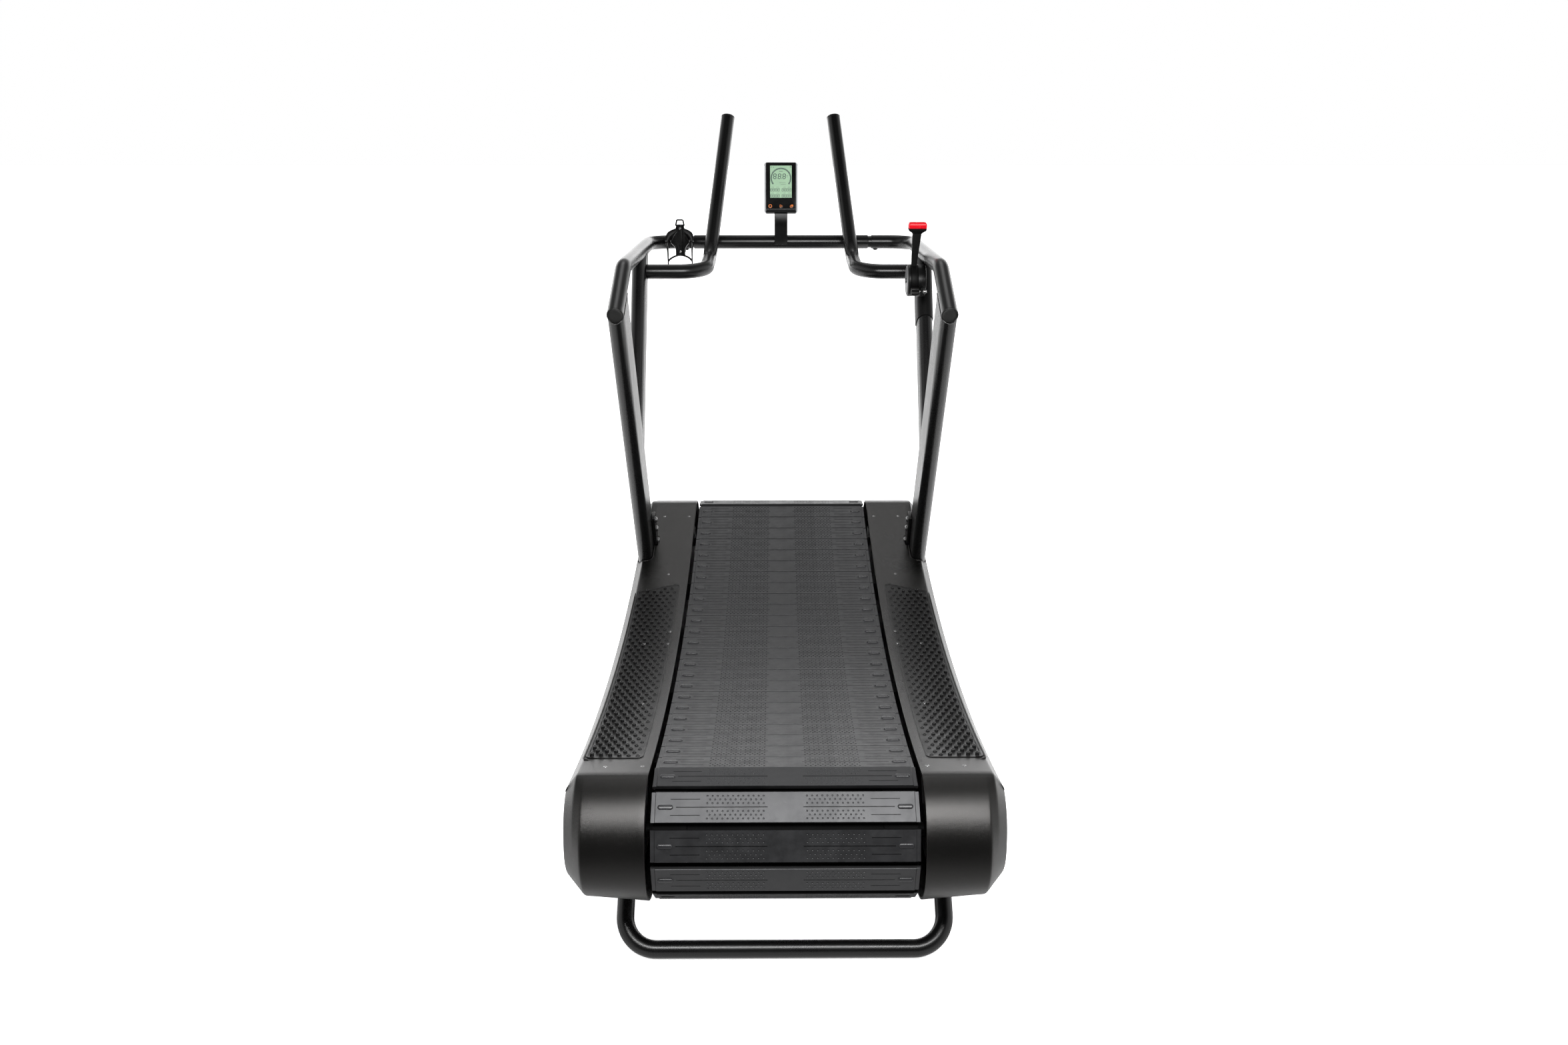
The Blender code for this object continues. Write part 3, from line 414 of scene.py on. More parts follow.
def clockwise(vector):
    """A quarter turn clockwise, seen with y to the right and z up."""
    return np.array([vector[1], -vector[0]])


# ================================================================ mesh helpers
def place(name, data):
    obj = bpy.data.objects.new(name, data)
    bpy.context.scene.collection.objects.link(obj)
    return obj


def smoothed(obj, sharp=35.0):
    """Smooth shading, with edges beyond the sharp angle kept crisp."""
    for poly in obj.data.polygons:
        poly.use_smooth = True
    obj.data.set_sharp_from_angle(angle=math.radians(sharp))
    return obj


def make(name, points, faces, mat=None, sharp=35.0):
    mesh = bpy.data.meshes.new(name)
    mesh.from_pydata([(x, y - MIDDLE_Y, z) for x, y, z in points], [], faces)
    shell = bmesh.new()
    shell.from_mesh(mesh)
    bmesh.ops.recalc_face_normals(shell, faces=shell.faces)
    shell.to_mesh(mesh)
    shell.free()
    if mat:
        mesh.materials.append(mat)
    return smoothed(place(name, mesh), sharp)


def walls(rows, count, start=0, closed=False):
    """Quads between successive rings of count points."""
    faces = []
    for k in range(rows if closed else rows - 1):
        near, far = start + k * count, start + (k + 1) % rows * count
        for i in range(count):
            j = (i + 1) % count
            faces.append((near + i, near + j, far + j, far + i))
    return faces


def add_rings(points, faces, rings):
    """Adds a stack of rings to a mesh under way; returns the outlines of its ends."""
    start, count = len(points), len(rings[0])
    faces += walls(len(rings), count, start)
    for ring in rings:
        points += ring
    end = len(points)
    return tuple(range(start, start + count)), tuple(range(end - count, end))


def loft(name, loops, mat=None, closed=False, sharp=35.0):
    count = len(loops[0])
    last = (len(loops) - 1) * count
    faces = walls(len(loops), count, closed=closed)
    if not closed:
        faces = [tuple(range(count)), tuple(last + i for i in reversed(range(count)))] + faces
    return make(name, [point for loop in loops for point in loop], faces, mat, sharp)


def bevelled(obj, width, segments=3):
    mod = obj.modifiers.new("edges", "BEVEL")
    mod.width = width
    mod.segments = segments
    mod.limit_method = "ANGLE"
    mod.angle_limit = math.radians(35.0)
    mod.use_clamp_overlap = True
    mod.harden_normals = True
    return obj


def prism(name, outline, x0, x1, mat=None, edge=0.0):
    """A side-view outline pulled from x0 to x1; edge rounds its long edges."""
    obj = loft(name, [[(x, y, z) for y, z in outline] for x in (x0, x1)], mat)
    return bevelled(obj, edge) if edge else obj


def block(name, low, high, mat=None, edge=0.0):
    return prism(name, box(low[1], low[2], high[1], high[2]), low[0], high[0], mat, edge)


def turned(name, profile, centre, mat=None, steps=64, bored=False):
    """Turned about X from (x, radius) pairs; a bored profile closes on itself."""
    loops = [[(x, *point) for point in circle(radius, steps, centre)] for x, radius in profile]
    if bored:
        loops = list(zip(*loops))
    return loft(name, loops, mat, closed=bored)


def spun(name, profile, origin, axis, mat=None, steps=32, sharp=35.0):
    """Turned about any axis through origin: profile is (distance, radius) pairs."""
    axis = Vector(axis).normalized()
    side = axis.orthogonal().normalized()
    other = axis.cross(side)
    loops = []
    for distance, radius in profile:
        centre = Vector(origin) + axis * distance
        loops.append([tuple(centre + side * a + other * b) for a, b in circle(radius, steps)])
    return loft(name, loops, mat, sharp=sharp)


def swept(name, path, outline, side, mat=None, closed=False, scales=None):
    """An outline carried along a path; side is where its first coordinate starts."""
    path = [Vector(point) for point in path]
    count = len(path)
    side = Vector(side)
    loops = []
    for k, point in enumerate(path):
        if closed:
            tangent = (path[(k + 1) % count] - path[(k - 1) % count]).normalized()
        else:
            tangent = (path[min(k + 1, count - 1)] - path[max(k - 1, 0)]).normalized()
        side = (side - tangent * side.dot(tangent)).normalized()
        other = tangent.cross(side)
        scale = scales[k] if scales else 1.0
        loops.append([tuple(point + side * (a * scale) + other * (b * scale))
                      for a, b in outline])
    return loft(name, loops, mat, closed)


def baked(obj):
    """Replaces the mesh with what its modifiers make of it."""
    graph = bpy.context.evaluated_depsgraph_get()
    graph.update()
    mesh = bpy.data.meshes.new_from_object(obj.evaluated_get(graph))
    obj.modifiers.clear()
    obj.data = mesh


def combine(target, tools, operation="DIFFERENCE", sharp=35.0):
    for tool in tools:
        mod = target.modifiers.new("combine", "BOOLEAN")
        mod.operation = operation
        mod.solver = "EXACT"
        mod.object = tool
    baked(target)
    for tool in tools:
        bpy.data.objects.remove(tool, do_unlink=True)
    smoothed(target, sharp)


def joined(name, parts):
    """Several shells as one piece."""
    shells = bmesh.new()
    mats = []
    for part in parts:
        if part.modifiers:
            baked(part)
        slots = []
        for mat in part.data.materials:
            if mat not in mats:
                mats.append(mat)
            slots.append(mats.index(mat))
        if slots:
            for poly in part.data.polygons:
                poly.material_index = slots[min(poly.material_index, len(slots) - 1)]
        shells.from_mesh(part.data)
    mesh = bpy.data.meshes.new(name)
    shells.to_mesh(mesh)
    shells.free()
    for mat in mats:
        mesh.materials.append(mat)
    for part in parts:
        bpy.data.objects.remove(part, do_unlink=True)
    return place(name, mesh)


def put(obj, slot, *nodes, body="frame"):
    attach(obj, body)
    if nodes:
        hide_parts(*nodes)


def on_deck(y, radius=DECK_R):
    """Height of the deck arc at y."""
    return ARC_CENTRE[1] - math.sqrt(radius * radius - (y - ARC_CENTRE[0]) ** 2)


def deck_normal(y, z):
    return (0.0, (ARC_CENTRE[0] - y) / DECK_R, (ARC_CENTRE[1] - z) / DECK_R)


# ================================================================ belt
# Angles about the arc centre or the drums where the sections of the loop meet.
REAR_TOP = heading(ARC_CENTRE - REAR_DRUM)
FRONT_TOP = heading(ARC_CENTRE - FRONT_DRUM)
FRONT_LOW = heading(FRONT_DRUM - REAR_DRUM) - math.pi / 2
REAR_LOW = FRONT_LOW + 2 * math.pi
# Section, body it rides on, CAD node, slats, length.
SECTIONS = (
    ("run", "belt_top", "belt_top_run", 24, RUN_R * (FRONT_TOP - REAR_TOP)),
    ("front", "belt_front", "belt_front_wrap", 6, PITCH_R * (FRONT_TOP - FRONT_LOW)),
    ("lower", "belt_bottom", "belt_bottom_run", 24, float(np.hypot(*(FRONT_DRUM - REAR_DRUM)))),
    ("rear", "belt_rear", "belt_rear_wrap", 6, PITCH_R * (REAR_LOW - REAR_TOP)),
)
PITCH = sum(section[4] for section in SECTIONS) / SLAT_COUNT
FIRST_SLAT = 0.0301  # distance of the first slat from the start of the run
FACE = SLAT_TOP - 0.0009  # general face of the rubber; the end bars stand above it


def belt_at(part, distance):
    """Point, direction along the loop and outward normal on the pitch line."""
    if part == "run":
        out = unit(REAR_TOP + distance / RUN_R)
        return ARC_CENTRE - RUN_R * out, clockwise(out), out
    if part == "front":
        out = unit(FRONT_TOP - distance / PITCH_R)
        return FRONT_DRUM + PITCH_R * out, clockwise(out), out
    if part == "lower":
        out = unit(FRONT_LOW)
        return FRONT_DRUM + PITCH_R * out + clockwise(out) * distance, clockwise(out), out
    out = unit(REAR_LOW - distance / PITCH_R)
    return REAR_DRUM + PITCH_R * out, clockwise(out), out


# Grid lines of the slat face, mirrored about its middle: across, and along the travel.
SLAT_X = (0.240, 0.2393, 0.2327, 0.2317, 0.2045, 0.2051, 0.1945, 0.1951, 0.1530, 0.1524,
          0.1200, 0.0800, 0.0326, 0.0320, 0.0)
SLAT_Y = (SLAT_LENGTH / 2, 0.0280, 0.0155, 0.0152, 0.0145, 0.0142, 0.0008, 0.0005)


def face_height(x, y):
    """The slat face, with stepped edges and moulded lines."""
    height = FACE
    x, y = abs(x), abs(y)
    if x > 0.2322:
        height -= 0.0014
    if x > 0.2395:
        height -= 0.0008
    if y > 0.0282:
        height -= 0.0005
    if 0.0323 < x < 0.1948 and y < 0.0006:
        height -= 0.0011
    if 0.1527 < x < 0.2048 and 0.0143 < y < 0.0153:
        height -= 0.0010
    return height


def slat_body():
    """Rubber block: x across, y along the travel, z outward from the pitch line."""
    xs = sorted({sign * x for x in SLAT_X for sign in (1, -1)})
    ys = sorted({sign * y for y in SLAT_Y for sign in (1, -1)})
    rows, count = len(xs), len(ys)
    points = [(x, y + MIDDLE_Y, face_height(x, y)) for x in xs for y in ys]
    faces = []
    for i in range(rows - 1):
        for j in range(count - 1):
            near, far = i * count + j, (i + 1) * count + j
            faces.append((near, far, far + 1, near + 1))
    rim = [i * count for i in range(rows)]
    rim += [(rows - 1) * count + j for j in range(1, count)]
    rim += [i * count + count - 1 for i in range(rows - 2, -1, -1)]
    rim += list(range(count - 2, 0, -1))
    base = len(points)
    points += [(points[k][0], points[k][1], SLAT_UNDER) for k in rim]
    for k in range(len(rim)):
        after = (k + 1) % len(rim)
        faces.append((rim[k], base + k, base + after, rim[after]))
    faces.append(tuple(base + k for k in reversed(range(len(rim)))))
    return make("slat", points, faces, sharp=40)


def dimples():
    """Cutters for the dimples: three rows each way from the middle, in both halves."""
    # Radius, height above the face.
    profile = ((0.00215, 0.0005), (0.00180, 0.0), (0.00152, -0.00062),
               (0.00110, -0.00100), (0.0002, -0.00112))
    spacing = 0.00915
    points, faces = [], []
    for side in (-1, 1):
        for y, count, offset in ((0.0073, 12, 0.0), (0.0142, 11, 0.5), (0.0210, 12, 0.0)):
            for k in range(count):
                x = side * (0.0387 + spacing * (k + offset))
                for row in (y, -y):
                    rings = [[(*point, FACE + height)
                              for point in circle(radius, 10, (x, row + MIDDLE_Y))]
                             for radius, height in profile]
                    faces += add_rings(points, faces, rings)
    return make("dimples", points, faces)


def end_bar(side):
    """Raised round-ended bar near the end of the slat."""
    length, width, rise = 0.0280, 0.0092, 0.0024
    straight = length / 2 - width / 2
    # Inset, height above the face.
    profile = ((0.0, -0.0003), (0.0, 0.18 * rise), (0.00030, 0.45 * rise),
               (0.0009, 0.70 * rise), (0.0018, 0.89 * rise), (0.0028, 0.98 * rise),
               (0.0038, rise))
    loops = []
    for inset, height in profile:
        radius = width / 2 - inset
        loop = []
        for k in range(32):
            angle = 2 * math.pi * (k + 0.5) / 32
            end = straight if math.cos(angle) >= 0 else -straight
            loop.append((side * 0.2142 + end + radius * math.cos(angle),
                         MIDDLE_Y + radius * math.sin(angle), FACE + height))
        loops.append(loop)
    return loft("bar", loops, BAR, sharp=60)


def slat_mesh():
    body = slat_body()
    combine(body, [dimples()], sharp=40)
    mesh = body.data
    mesh.materials.clear()
    for mat in (SLAT_RUBBERS[0], CARRIER, RECESS_SHADE, BAR, DIMPLE_SHADE):
        mesh.materials.append(mat)
    # Painted shade: the moulded lines, the dimples and the sides of the block get darker colours
    # than the face, standing in for the shade that falls in them.
    for poly in mesh.polygons:
        x, y, z = abs(poly.center.x), abs(poly.center.y), poly.center.z
        line = y < 0.0009 and 0.0320 < x < 0.1951
        line = line or (0.0139 < y < 0.0158 and 0.1524 < x < 0.2051)
        if (z < FACE - 0.00012 and line) or z < FACE - 0.003:
            poly.material_index = 2
        elif z < FACE - 0.00025 and 0.0365 < x < 0.1450 and y < 0.0240:
            poly.material_index = 4
        else:
            poly.material_index = 0
    # Stem under the rubber, seen in the gaps round the drums.
    low, high = BAND + 0.0012, SLAT_UNDER + 0.0001
    stem = [(y + MIDDLE_Y, z)
            for y, z in ((-0.020, high), (-0.020, low), (0.020, low), (0.020, high))]
    parts = [body, end_bar(-1), end_bar(1), prism("stem", stem, -0.2375, 0.2375, CARRIER)]
    slat = smoothed(joined("slat_source", parts), 40)
    mesh = slat.data
    bpy.data.objects.remove(slat, do_unlink=True)
    return mesh


def slat_variant(mesh, rubber, dimple):
    mesh = mesh.copy()
    # Slot 4 colours the dimples: the face rubber, or the darker painted shade.
    mesh.materials[0] = rubber
    mesh.materials[4] = dimple
    return mesh


def carrier(part, body, node, length):
    """Carrier under the slats of a section: two wide bands and a thin web."""
    steps = max(24, round(length / 0.008))
    # The lower run starts late, clear of the last wrap slat when the belt moves back.
    start, end = (0.0190 if part == "lower" else 0.0008), 0.0008
    stations = [belt_at(part, start + (length - start - end) * i / steps)
                for i in range(steps + 1)]
    parts = []
    # x from, x to, heights from the pitch line.
    for x0, x1, low, high in ((-0.236, -0.176, -BAND, BAND + 0.0012),
                              (0.176, 0.236, -BAND, BAND + 0.0012),
                              (-0.175, 0.175, 0.0005, BAND)):
        outline = [point + out * high for point, _, out in stations]
        outline += [point + out * low for point, _, out in reversed(stations)]
        count = len(outline)
        points = [(x, float(y), float(z)) for x in (x0, x1) for y, z in outline]
        faces = walls(2, count)
        for i in range(steps):
            faces.append((i, i + 1, count - 2 - i, count - 1 - i))
            faces.append((count + i, 2 * count - 1 - i, 2 * count - 2 - i, count + i + 1))
        parts.append(make("strip", points, faces, CARRIER))
    put(joined(f"carrier_{body}", parts), "belt_rubber", node, body=body)


slat_source = slat_mesh()
# On the wraps the dimples keep the colour of the face; on the runs they get the darker painted
# shade.
wrap_meshes = [slat_variant(slat_source, rubber, rubber) for rubber in SLAT_RUBBERS]
run_meshes = [slat_variant(slat_source, rubber, DIMPLE_SHADE) for rubber in SLAT_RUBBERS]
number = 0
start = FIRST_SLAT
for part, body, node, count, length in SECTIONS:
    meshes = run_meshes if part in ("run", "lower") else wrap_meshes
    for k in range(count):
        point, along, out = belt_at(part, start + k * PITCH)
        slat = place(f"slat_{number:02d}", meshes[(number * 7 + number // 5) % 4])
        slat.matrix_world = Matrix((
            (1, 0, 0, 0),
            (0, along[0], out[0], point[0] - MIDDLE_Y),
            (0, along[1], out[1], point[1]),
            (0, 0, 0, 1),
        ))
        put(slat, "belt_rubber", body=body)
        number += 1
    start += count * PITCH - length
    carrier(part, body, node, length)


# ================================================================ side covers
def side_outline():
    """Cover in side view as (point, normal): deck, front turn, underside, rear turn."""
    deck, turn, under = 72, 36, 12  # steps
    slat_r = PITCH_R + SLAT_TOP
    rear_edge = REAR_TOP - math.sqrt(REAR_CASING**2 - slat_r**2) / DECK_R
    front_edge = FRONT_TOP + math.sqrt(FRONT_CASING**2 - slat_r**2) / DECK_R
    points = []
    for i in range(deck + 1):
        out = unit(rear_edge + (front_edge - rear_edge) * i / deck)
        points.append((ARC_CENTRE - DECK_R * out, out))
    first = heading(points[-1][0] - FRONT_DRUM)
    for i in range(1, turn + 1):
        out = unit(first + (FRONT_LOW - first) * i / turn)
        points.append((FRONT_DRUM + FRONT_CASING * out, out))
    out = unit(FRONT_LOW)
    for i in range(1, under):
        radius = FRONT_CASING + (REAR_CASING - FRONT_CASING) * i / under
        points.append((FRONT_DRUM + (REAR_DRUM - FRONT_DRUM) * i / under + radius * out, out))
    last = heading(points[0][0] - REAR_DRUM)
    for i in range(turn):
        out = unit(REAR_LOW + (last - REAR_LOW) * i / turn)
        points.append((REAR_DRUM + REAR_CASING * out, out))
    return points


OUTLINE = side_outline()
INNER_X, CHAMFER_X, CROWN_X = 0.2488, 0.3640, 0.3797  # inner edge and starts of the slopes
COVER_WALL = 0.0030
OUT_X = (0.2488, 0.2491, 0.2495, 0.2502, 0.262, 0.300, 0.340, 0.358, 0.3615, 0.3628, 0.3640,
         0.3652, 0.3665, 0.3690, 0.3715, 0.3735, 0.3760, 0.3778, 0.3790, 0.3798, 0.3806,
         0.3820, 0.3850, 0.3905, 0.3950, 0.3972, 0.3980, 0.3989, 0.3996, 0.4000)
IN_X = (0.3850, 0.3745, 0.3640, 0.3400, 0.2900, 0.2488)


def ramp(x, start, width=0.0011):
    """x - start above start and nothing below, with a small rounded start."""
    t = (x - start) / width
    return width * (math.log1p(math.exp(t)) if t < 30 else t)


def edge_round(depth, length, drop):
    """Fall of a rounded edge, at a depth into its length."""
    t = min(1.0, max(0.0, depth / length))
    return drop * (1 - math.sqrt(1 - t * t))


def insets(x):
    """How far the outer skin has come in at x: (top, end, bottom)."""
    edge = edge_round(x - 0.3972, 0.0028, 0.0030) + edge_round(0.2502 - x, 0.0014, 0.0014)
    top = 0.0270 / 0.0205 * ramp(x, CROWN_X)
    end = 0.0480 / 0.0360 * ramp(x, CHAMFER_X)
    low = 0.004 + 0.0155 * max(0.0, min(1.0, (x - INNER_X) / (CHAMFER_X - INNER_X)))
    low += 0.0330 / 0.0360 * ramp(x, CHAMFER_X)
    return top + edge, end + edge, low + edge


def cover_loop(sign, x, wall=0.0, shift=0.0):
    """The cover's section at x, thinned by wall and drawn shift further out."""
    top, end, low = insets(x)
    loop = []
    for point, normal in OUTLINE:
        inset = wall + (top if normal[1] > 0 else low) * normal[1] ** 2 + end * normal[0] ** 2
        y, z = point - normal * inset
        loop.append((sign * (x + shift), float(y), float(z)))
    return loop


def on_upright(up, forward):
    return UPRIGHT_FOOT + LEAN * up + LEAN_SIDE * forward


def screw(origin, axis, radius):
    """A flat countersunk screw: slightly sunk, domed, with a recess."""
    # Height, share of the radius.
    rings = ((-0.0030, 0.45), (-0.0002, 0.93), (0.00015, 1.0), (0.0004, 0.96),
             (0.0006, 0.75), (0.00068, 0.46), (-0.0008, 0.40))
    profile = [(height, radius * share) for height, share in rings] + [(-0.0012, 0.0004)]
    return spun("screw", profile, origin, axis, SCREW, 24)


def screw_set(name, sign, places, radius, deck_r=DECK_R, sink=0.0):
    """Screws at (x, y) places on the deck."""
    heads = []
    for x, y in places:
        z = on_deck(y, deck_r)
        heads.append(screw((sign * x, y, z - sink), deck_normal(y, z), radius))
    put(joined(name, heads), "steel")


def button_bolt(origin, axis, radius, height, mat):
    """A domed button head with a hex socket, on a thin washer."""
    washer = [(0.0, radius * 1.12), (0.0008, radius * 1.16), (0.0013, radius * 1.10),
              (0.0013, 0.001)]
    head = [(0.0012, radius * 0.97), (0.0018, radius), (height * 0.45, radius * 0.97),
            (height * 0.75, radius * 0.84), (height * 0.95, radius * 0.62),
            (height, radius * 0.46), (height - 0.0004, radius * 0.42)]
    socket = [(height - 0.0005, radius * 0.43), (height - 0.0025, radius * 0.40),
              (height - 0.0027, 0.0005)]
    return [
        spun("washer", washer, origin, axis, mat),
        spun("head", head, origin, axis, mat),
        spun("socket", socket, origin, axis, mat, 6, 20),
    ]


def cover_shell(sign, side):
    outer = [cover_loop(sign, x) for x in OUT_X]
    inner = [cover_loop(sign, 0.3960, COVER_WALL, shift=0.0008)]
    inner += [cover_loop(sign, x, COVER_WALL) for x in IN_X]
    count = len(OUTLINE)
    turn = len(outer) * count
    last = turn + (len(inner) - 1) * count
    faces = [tuple(range(turn - count, turn)), tuple(range(turn, turn + count))]
    faces += walls(len(outer), count) + walls(len(inner), count, turn)
    for i in range(count):
        j = (i + 1) % count
        faces.append((i, j, last + j, last + i))
    points = [point for loop in outer + inner for point in loop]
    cover = make(f"{side}_cover_shell", points, faces, COVER, 28)

    x = sign * UPRIGHT_X
    notch_path = [(x, *on_upright(0.030, 0.0)), (x, *on_upright(0.200, 0.0))]
    slot = [tuple(on_upright(up, forward))
            for up, forward in ((0.015, 0.016), (0.015, 0.064), (0.19, 0.064), (0.19, 0.016))]
    cuts = [
        swept("notch", notch_path, oval(0.126, 0.0425), (1, 0, 0)),
        prism("slot", slot, sign * 0.3440, sign * 0.3600),
    ]
    for ends in (((0.20, 0.1145), (0.31, 0.2245)), ((1.56, 0.096), (1.45, 0.250))):
        path = [(sign * FOOT_X, *end) for end in ends]
        cuts.append(swept("leg", path, circle(0.0185, 32), (1, 0, 0)))
    combine(cover, cuts, sharp=28)
    put(cover, "cover_plastic", f"{side}_side_cover")


def notch_lip(sign, side):
    """Moulded lip round the upright's opening, following the skin."""
    path = []
    for offset, forward in oval(0.1262, 0.0427, 24):
        x = UPRIGHT_X + offset
        up = 0.04
        for _ in range(40):
            y, z = on_upright(up, forward)
            up += (on_deck(y) - insets(min(x, 0.3998))[0] - z) * 0.9
        y, z = on_upright(up, forward)
        path.append((sign * min(x, 0.3965), float(y), float(z) - 0.0004))
    lip = swept(f"{side}_notch_lip", path, circle(0.0011, 10), (0, 0, 1), COVER, closed=True)
    put(lip, "cover_plastic")


DECK_SCREWS = ((0.2670, 1.5005), (0.3373, 1.5005), (0.3030, 1.1910), (0.3328, 0.1380),
               (0.2643, 0.1392))
for sign, side in SIDES:
    cover_shell(sign, side)
    notch_lip(sign, side)
    screw_set(f"{side}_deck_screws", sign, DECK_SCREWS, radius=0.0038, sink=0.0002)


# ================================================================ foot pads
PAD_IN, PAD_OUT = 0.268, 0.3780
PAD_REAR = 0.183
PAD_FRONT = 1.094  # at the outer side; the front edge slants forward to the inner side
PAD_SLANT = 0.045
PAD_CORNER = 0.013
FIELD = 0.0005  # sunk field above the deck
STUD_X, STUD_Y = 0.2793, 0.1960
STUD_PITCH_X, STUD_PITCH_Y, STUD_ROWS = 0.01740, 0.0187, 51
STUD_MARGIN = 0.0088


def pad_front(x):
    return PAD_FRONT + (PAD_OUT - x) / (PAD_OUT - PAD_IN) * PAD_SLANT


def smooth_min(first, second, reach):
    near = max(reach - abs(first - second), 0.0) / reach
    return min(first, second) - near * near * reach * 0.25


def pad_edges(y):
    x0, x1 = PAD_IN, PAD_OUT
    if y < PAD_REAR + PAD_CORNER:
        depth = PAD_REAR + PAD_CORNER - y
        ease = PAD_CORNER - math.sqrt(max(0.0, PAD_CORNER**2 - depth**2))
        x0, x1 = x0 + ease, x1 - ease
    slant = PAD_OUT - (y - PAD_FRONT) / PAD_SLANT * (PAD_OUT - PAD_IN)
    return x0, smooth_min(x1, slant, 0.010)


def pad_sheet(sign):
    """Raised lip at both edges, sunk field between."""
    stations = [0.1832, 0.1838, 0.1852, 0.1875, 0.1910, 0.1960]
    stations += [0.1960 + (1.080 - 0.1960) * i / 60 for i in range(1, 61)]
    stations += [1.080 + (1.1335 - 1.080) * i / 26 for i in range(1, 27)] + [1.1350]
    loops = []
    for y in stations:
        x0, x1 = pad_edges(y)
        if y > 1.125:
            x0 += (y - 1.125) ** 2 / 0.020
        near = min(y - PAD_REAR, pad_front((x0 + x1) / 2) - y)
        field = FIELD if near > 0.0052 else 0.0014
        x1 = max(x1, x0 + 0.0125)
        # x, height above the deck.
        section = [
            (x0, -0.0012), (x0, 0.0009), (x0 + 0.0005, 0.0013), (x0 + 0.0024, 0.0014),
            (x0 + 0.0032, field), (x0 + 0.0050, field), (x1 - 0.0058, field),
            (x1 - 0.0046, 0.0020), (x1 - 0.0012, 0.0021), (x1, 0.0012), (x1, -0.0012),
        ]
        loops.append([(sign * x, y, on_deck(y, DECK_R - height)) for x, height in section])
    return loft("sheet", loops, PAD, sharp=30)


def pad_studs(sign):
    points, faces = [], []
    for row in range(STUD_ROWS):
        y = STUD_Y + STUD_PITCH_Y * row
        odd = row % 2
        for k in range(6 - odd):
            x = STUD_X + STUD_PITCH_X * (k + 0.5 * odd)
            if y >= pad_front(x) - STUD_MARGIN:
                continue
            # The pegs stand taller towards the outer edge.
            tall = 0.0014 + 0.0048 * min(1.0, (x - STUD_X) / 0.0640)
            z = on_deck(y, DECK_R - FIELD)
            normal = Vector(deck_normal(y, z)).normalized()
            forward = Vector((0, normal.z, -normal.y))
            # Radius, height.
            profile = (
                (0.0043, -0.0004), (0.0041, 0.0003), (0.00400, tall * 0.5),
                (0.00390, tall - 0.0006), (0.0036, tall - 0.0001), (0.0031, tall),
                (0.0026, tall - 0.0004), (0.0012, tall - 0.0008),
            )
            rings = []
            for radius, height in profile:
                rings.append([
                    tuple(Vector((sign * x, y, z)) + Vector((1, 0, 0)) * a + forward * b
                          + normal * height)
                    for a, b in circle(radius, 16)
                ])
            first, last = add_rings(points, faces, rings)
            faces += [last, first[::-1]]
    return make("studs", points, faces, STUD, 50)


PAD_SCREWS = ((0.3300, 0.8740), (0.2738, 0.8760), (0.3295, 0.8100), (0.2736, 0.8090),
              (0.3000, 0.4800))
# Ridge of the cover along the outer side of the pad, hooked in at its rear corner: (x, y).
RIDGE = [(0.3640, 0.1735), (0.3715, 0.1748), (0.3775, 0.1785), (0.3803, 0.1850)]
RIDGE += [(0.3806, 0.190 + 0.0225 * i) for i in range(1, 41)]
RIDGE_SCALES = [0.15, 0.75] + [1.0] * (len(RIDGE) - 3) + [0.4]
for sign, side in SIDES:
    pad = joined(f"{side}_foot_pad_studded", [pad_sheet(sign), pad_studs(sign)])
    put(pad, "pad_rubber", f"{side}_foot_pad")
    screw_set(f"{side}_pad_screws", sign, PAD_SCREWS, radius=0.0036, deck_r=DECK_R - 0.0006)
    path = [(sign * x, y, on_deck(y) - 0.0006) for x, y in RIDGE]
    section = [(1.25 * a, b) for a, b in circle(0.0021, 14)]
    ridge = swept(f"{side}_pad_ridge", path, section, (0, 0, 1), COVER, scales=RIDGE_SCALES)
    put(ridge, "cover_plastic")

# ================================================================ tubes
GRIP_DIR = normalised(GRIP_BEND - GRIP_END)
RAIL_DIR = normalised(np.array([BAR_Y, BAR_Z]) - GRIP_BEND)
POST_DIR = normalised(np.array([0.265, 0.478]))


def to_line(origin, along, direction):
    """Distance from a foot, going in direction, to the line through origin."""
    normal = clockwise(along)

    def cut(_, foot):
        return float(((origin - foot) @ normal) / (direction @ normal))

    return cut


def coped(name, x, start, direction, size, cut_low, cut_high, mat=None):
    """An oval tube whose ends stop where the two cut functions say."""
    loops = [[], []]
    for offset, forward in oval(*size, 24):
        foot = start + clockwise(direction) * forward
        for loop, cut in zip(loops, (cut_low, cut_high)):
            y, z = foot + direction * cut(offset, foot)
            loop.append((x + offset, float(y), float(z)))
    return loft(name, loops, mat)


def tube_room(x, origin, along, radius):
    path = [(x, *map(float, origin + along * reach)) for reach in (-0.30, 0.30)]
    return swept("cut", path, circle(radius, 64), (1, 0, 0))


def weld(name, path, radius):
    """A bead along a joint, with the small ripples of the pool."""
    scales = [1.0 + 0.16 * math.sin(2.3 * i) for i in range(len(path))]
    return swept(name, path, circle(radius, 10), (0, 0, 1), POWDER, closed=True, scales=scales)


def rail_weld(x, start, direction, size, origin, along):
    """Bead where an oval tube meets the rail running along through origin."""
    normal = clockwise(along)
    if normal @ direction < 0:
        normal = -normal
    path = []
    for offset, forward in oval(*size, 22):
        foot = start + clockwise(direction) * forward
        reach = math.sqrt(max(0.0, RAIL_ROOM**2 - offset * offset))
        distance = float(((origin - foot) @ normal - reach) / (direction @ normal))
        y, z = foot + direction * (distance - 0.0004)
        path.append((x + offset * 0.995, float(y), float(z)))
    return weld("bead", path, 0.0015)


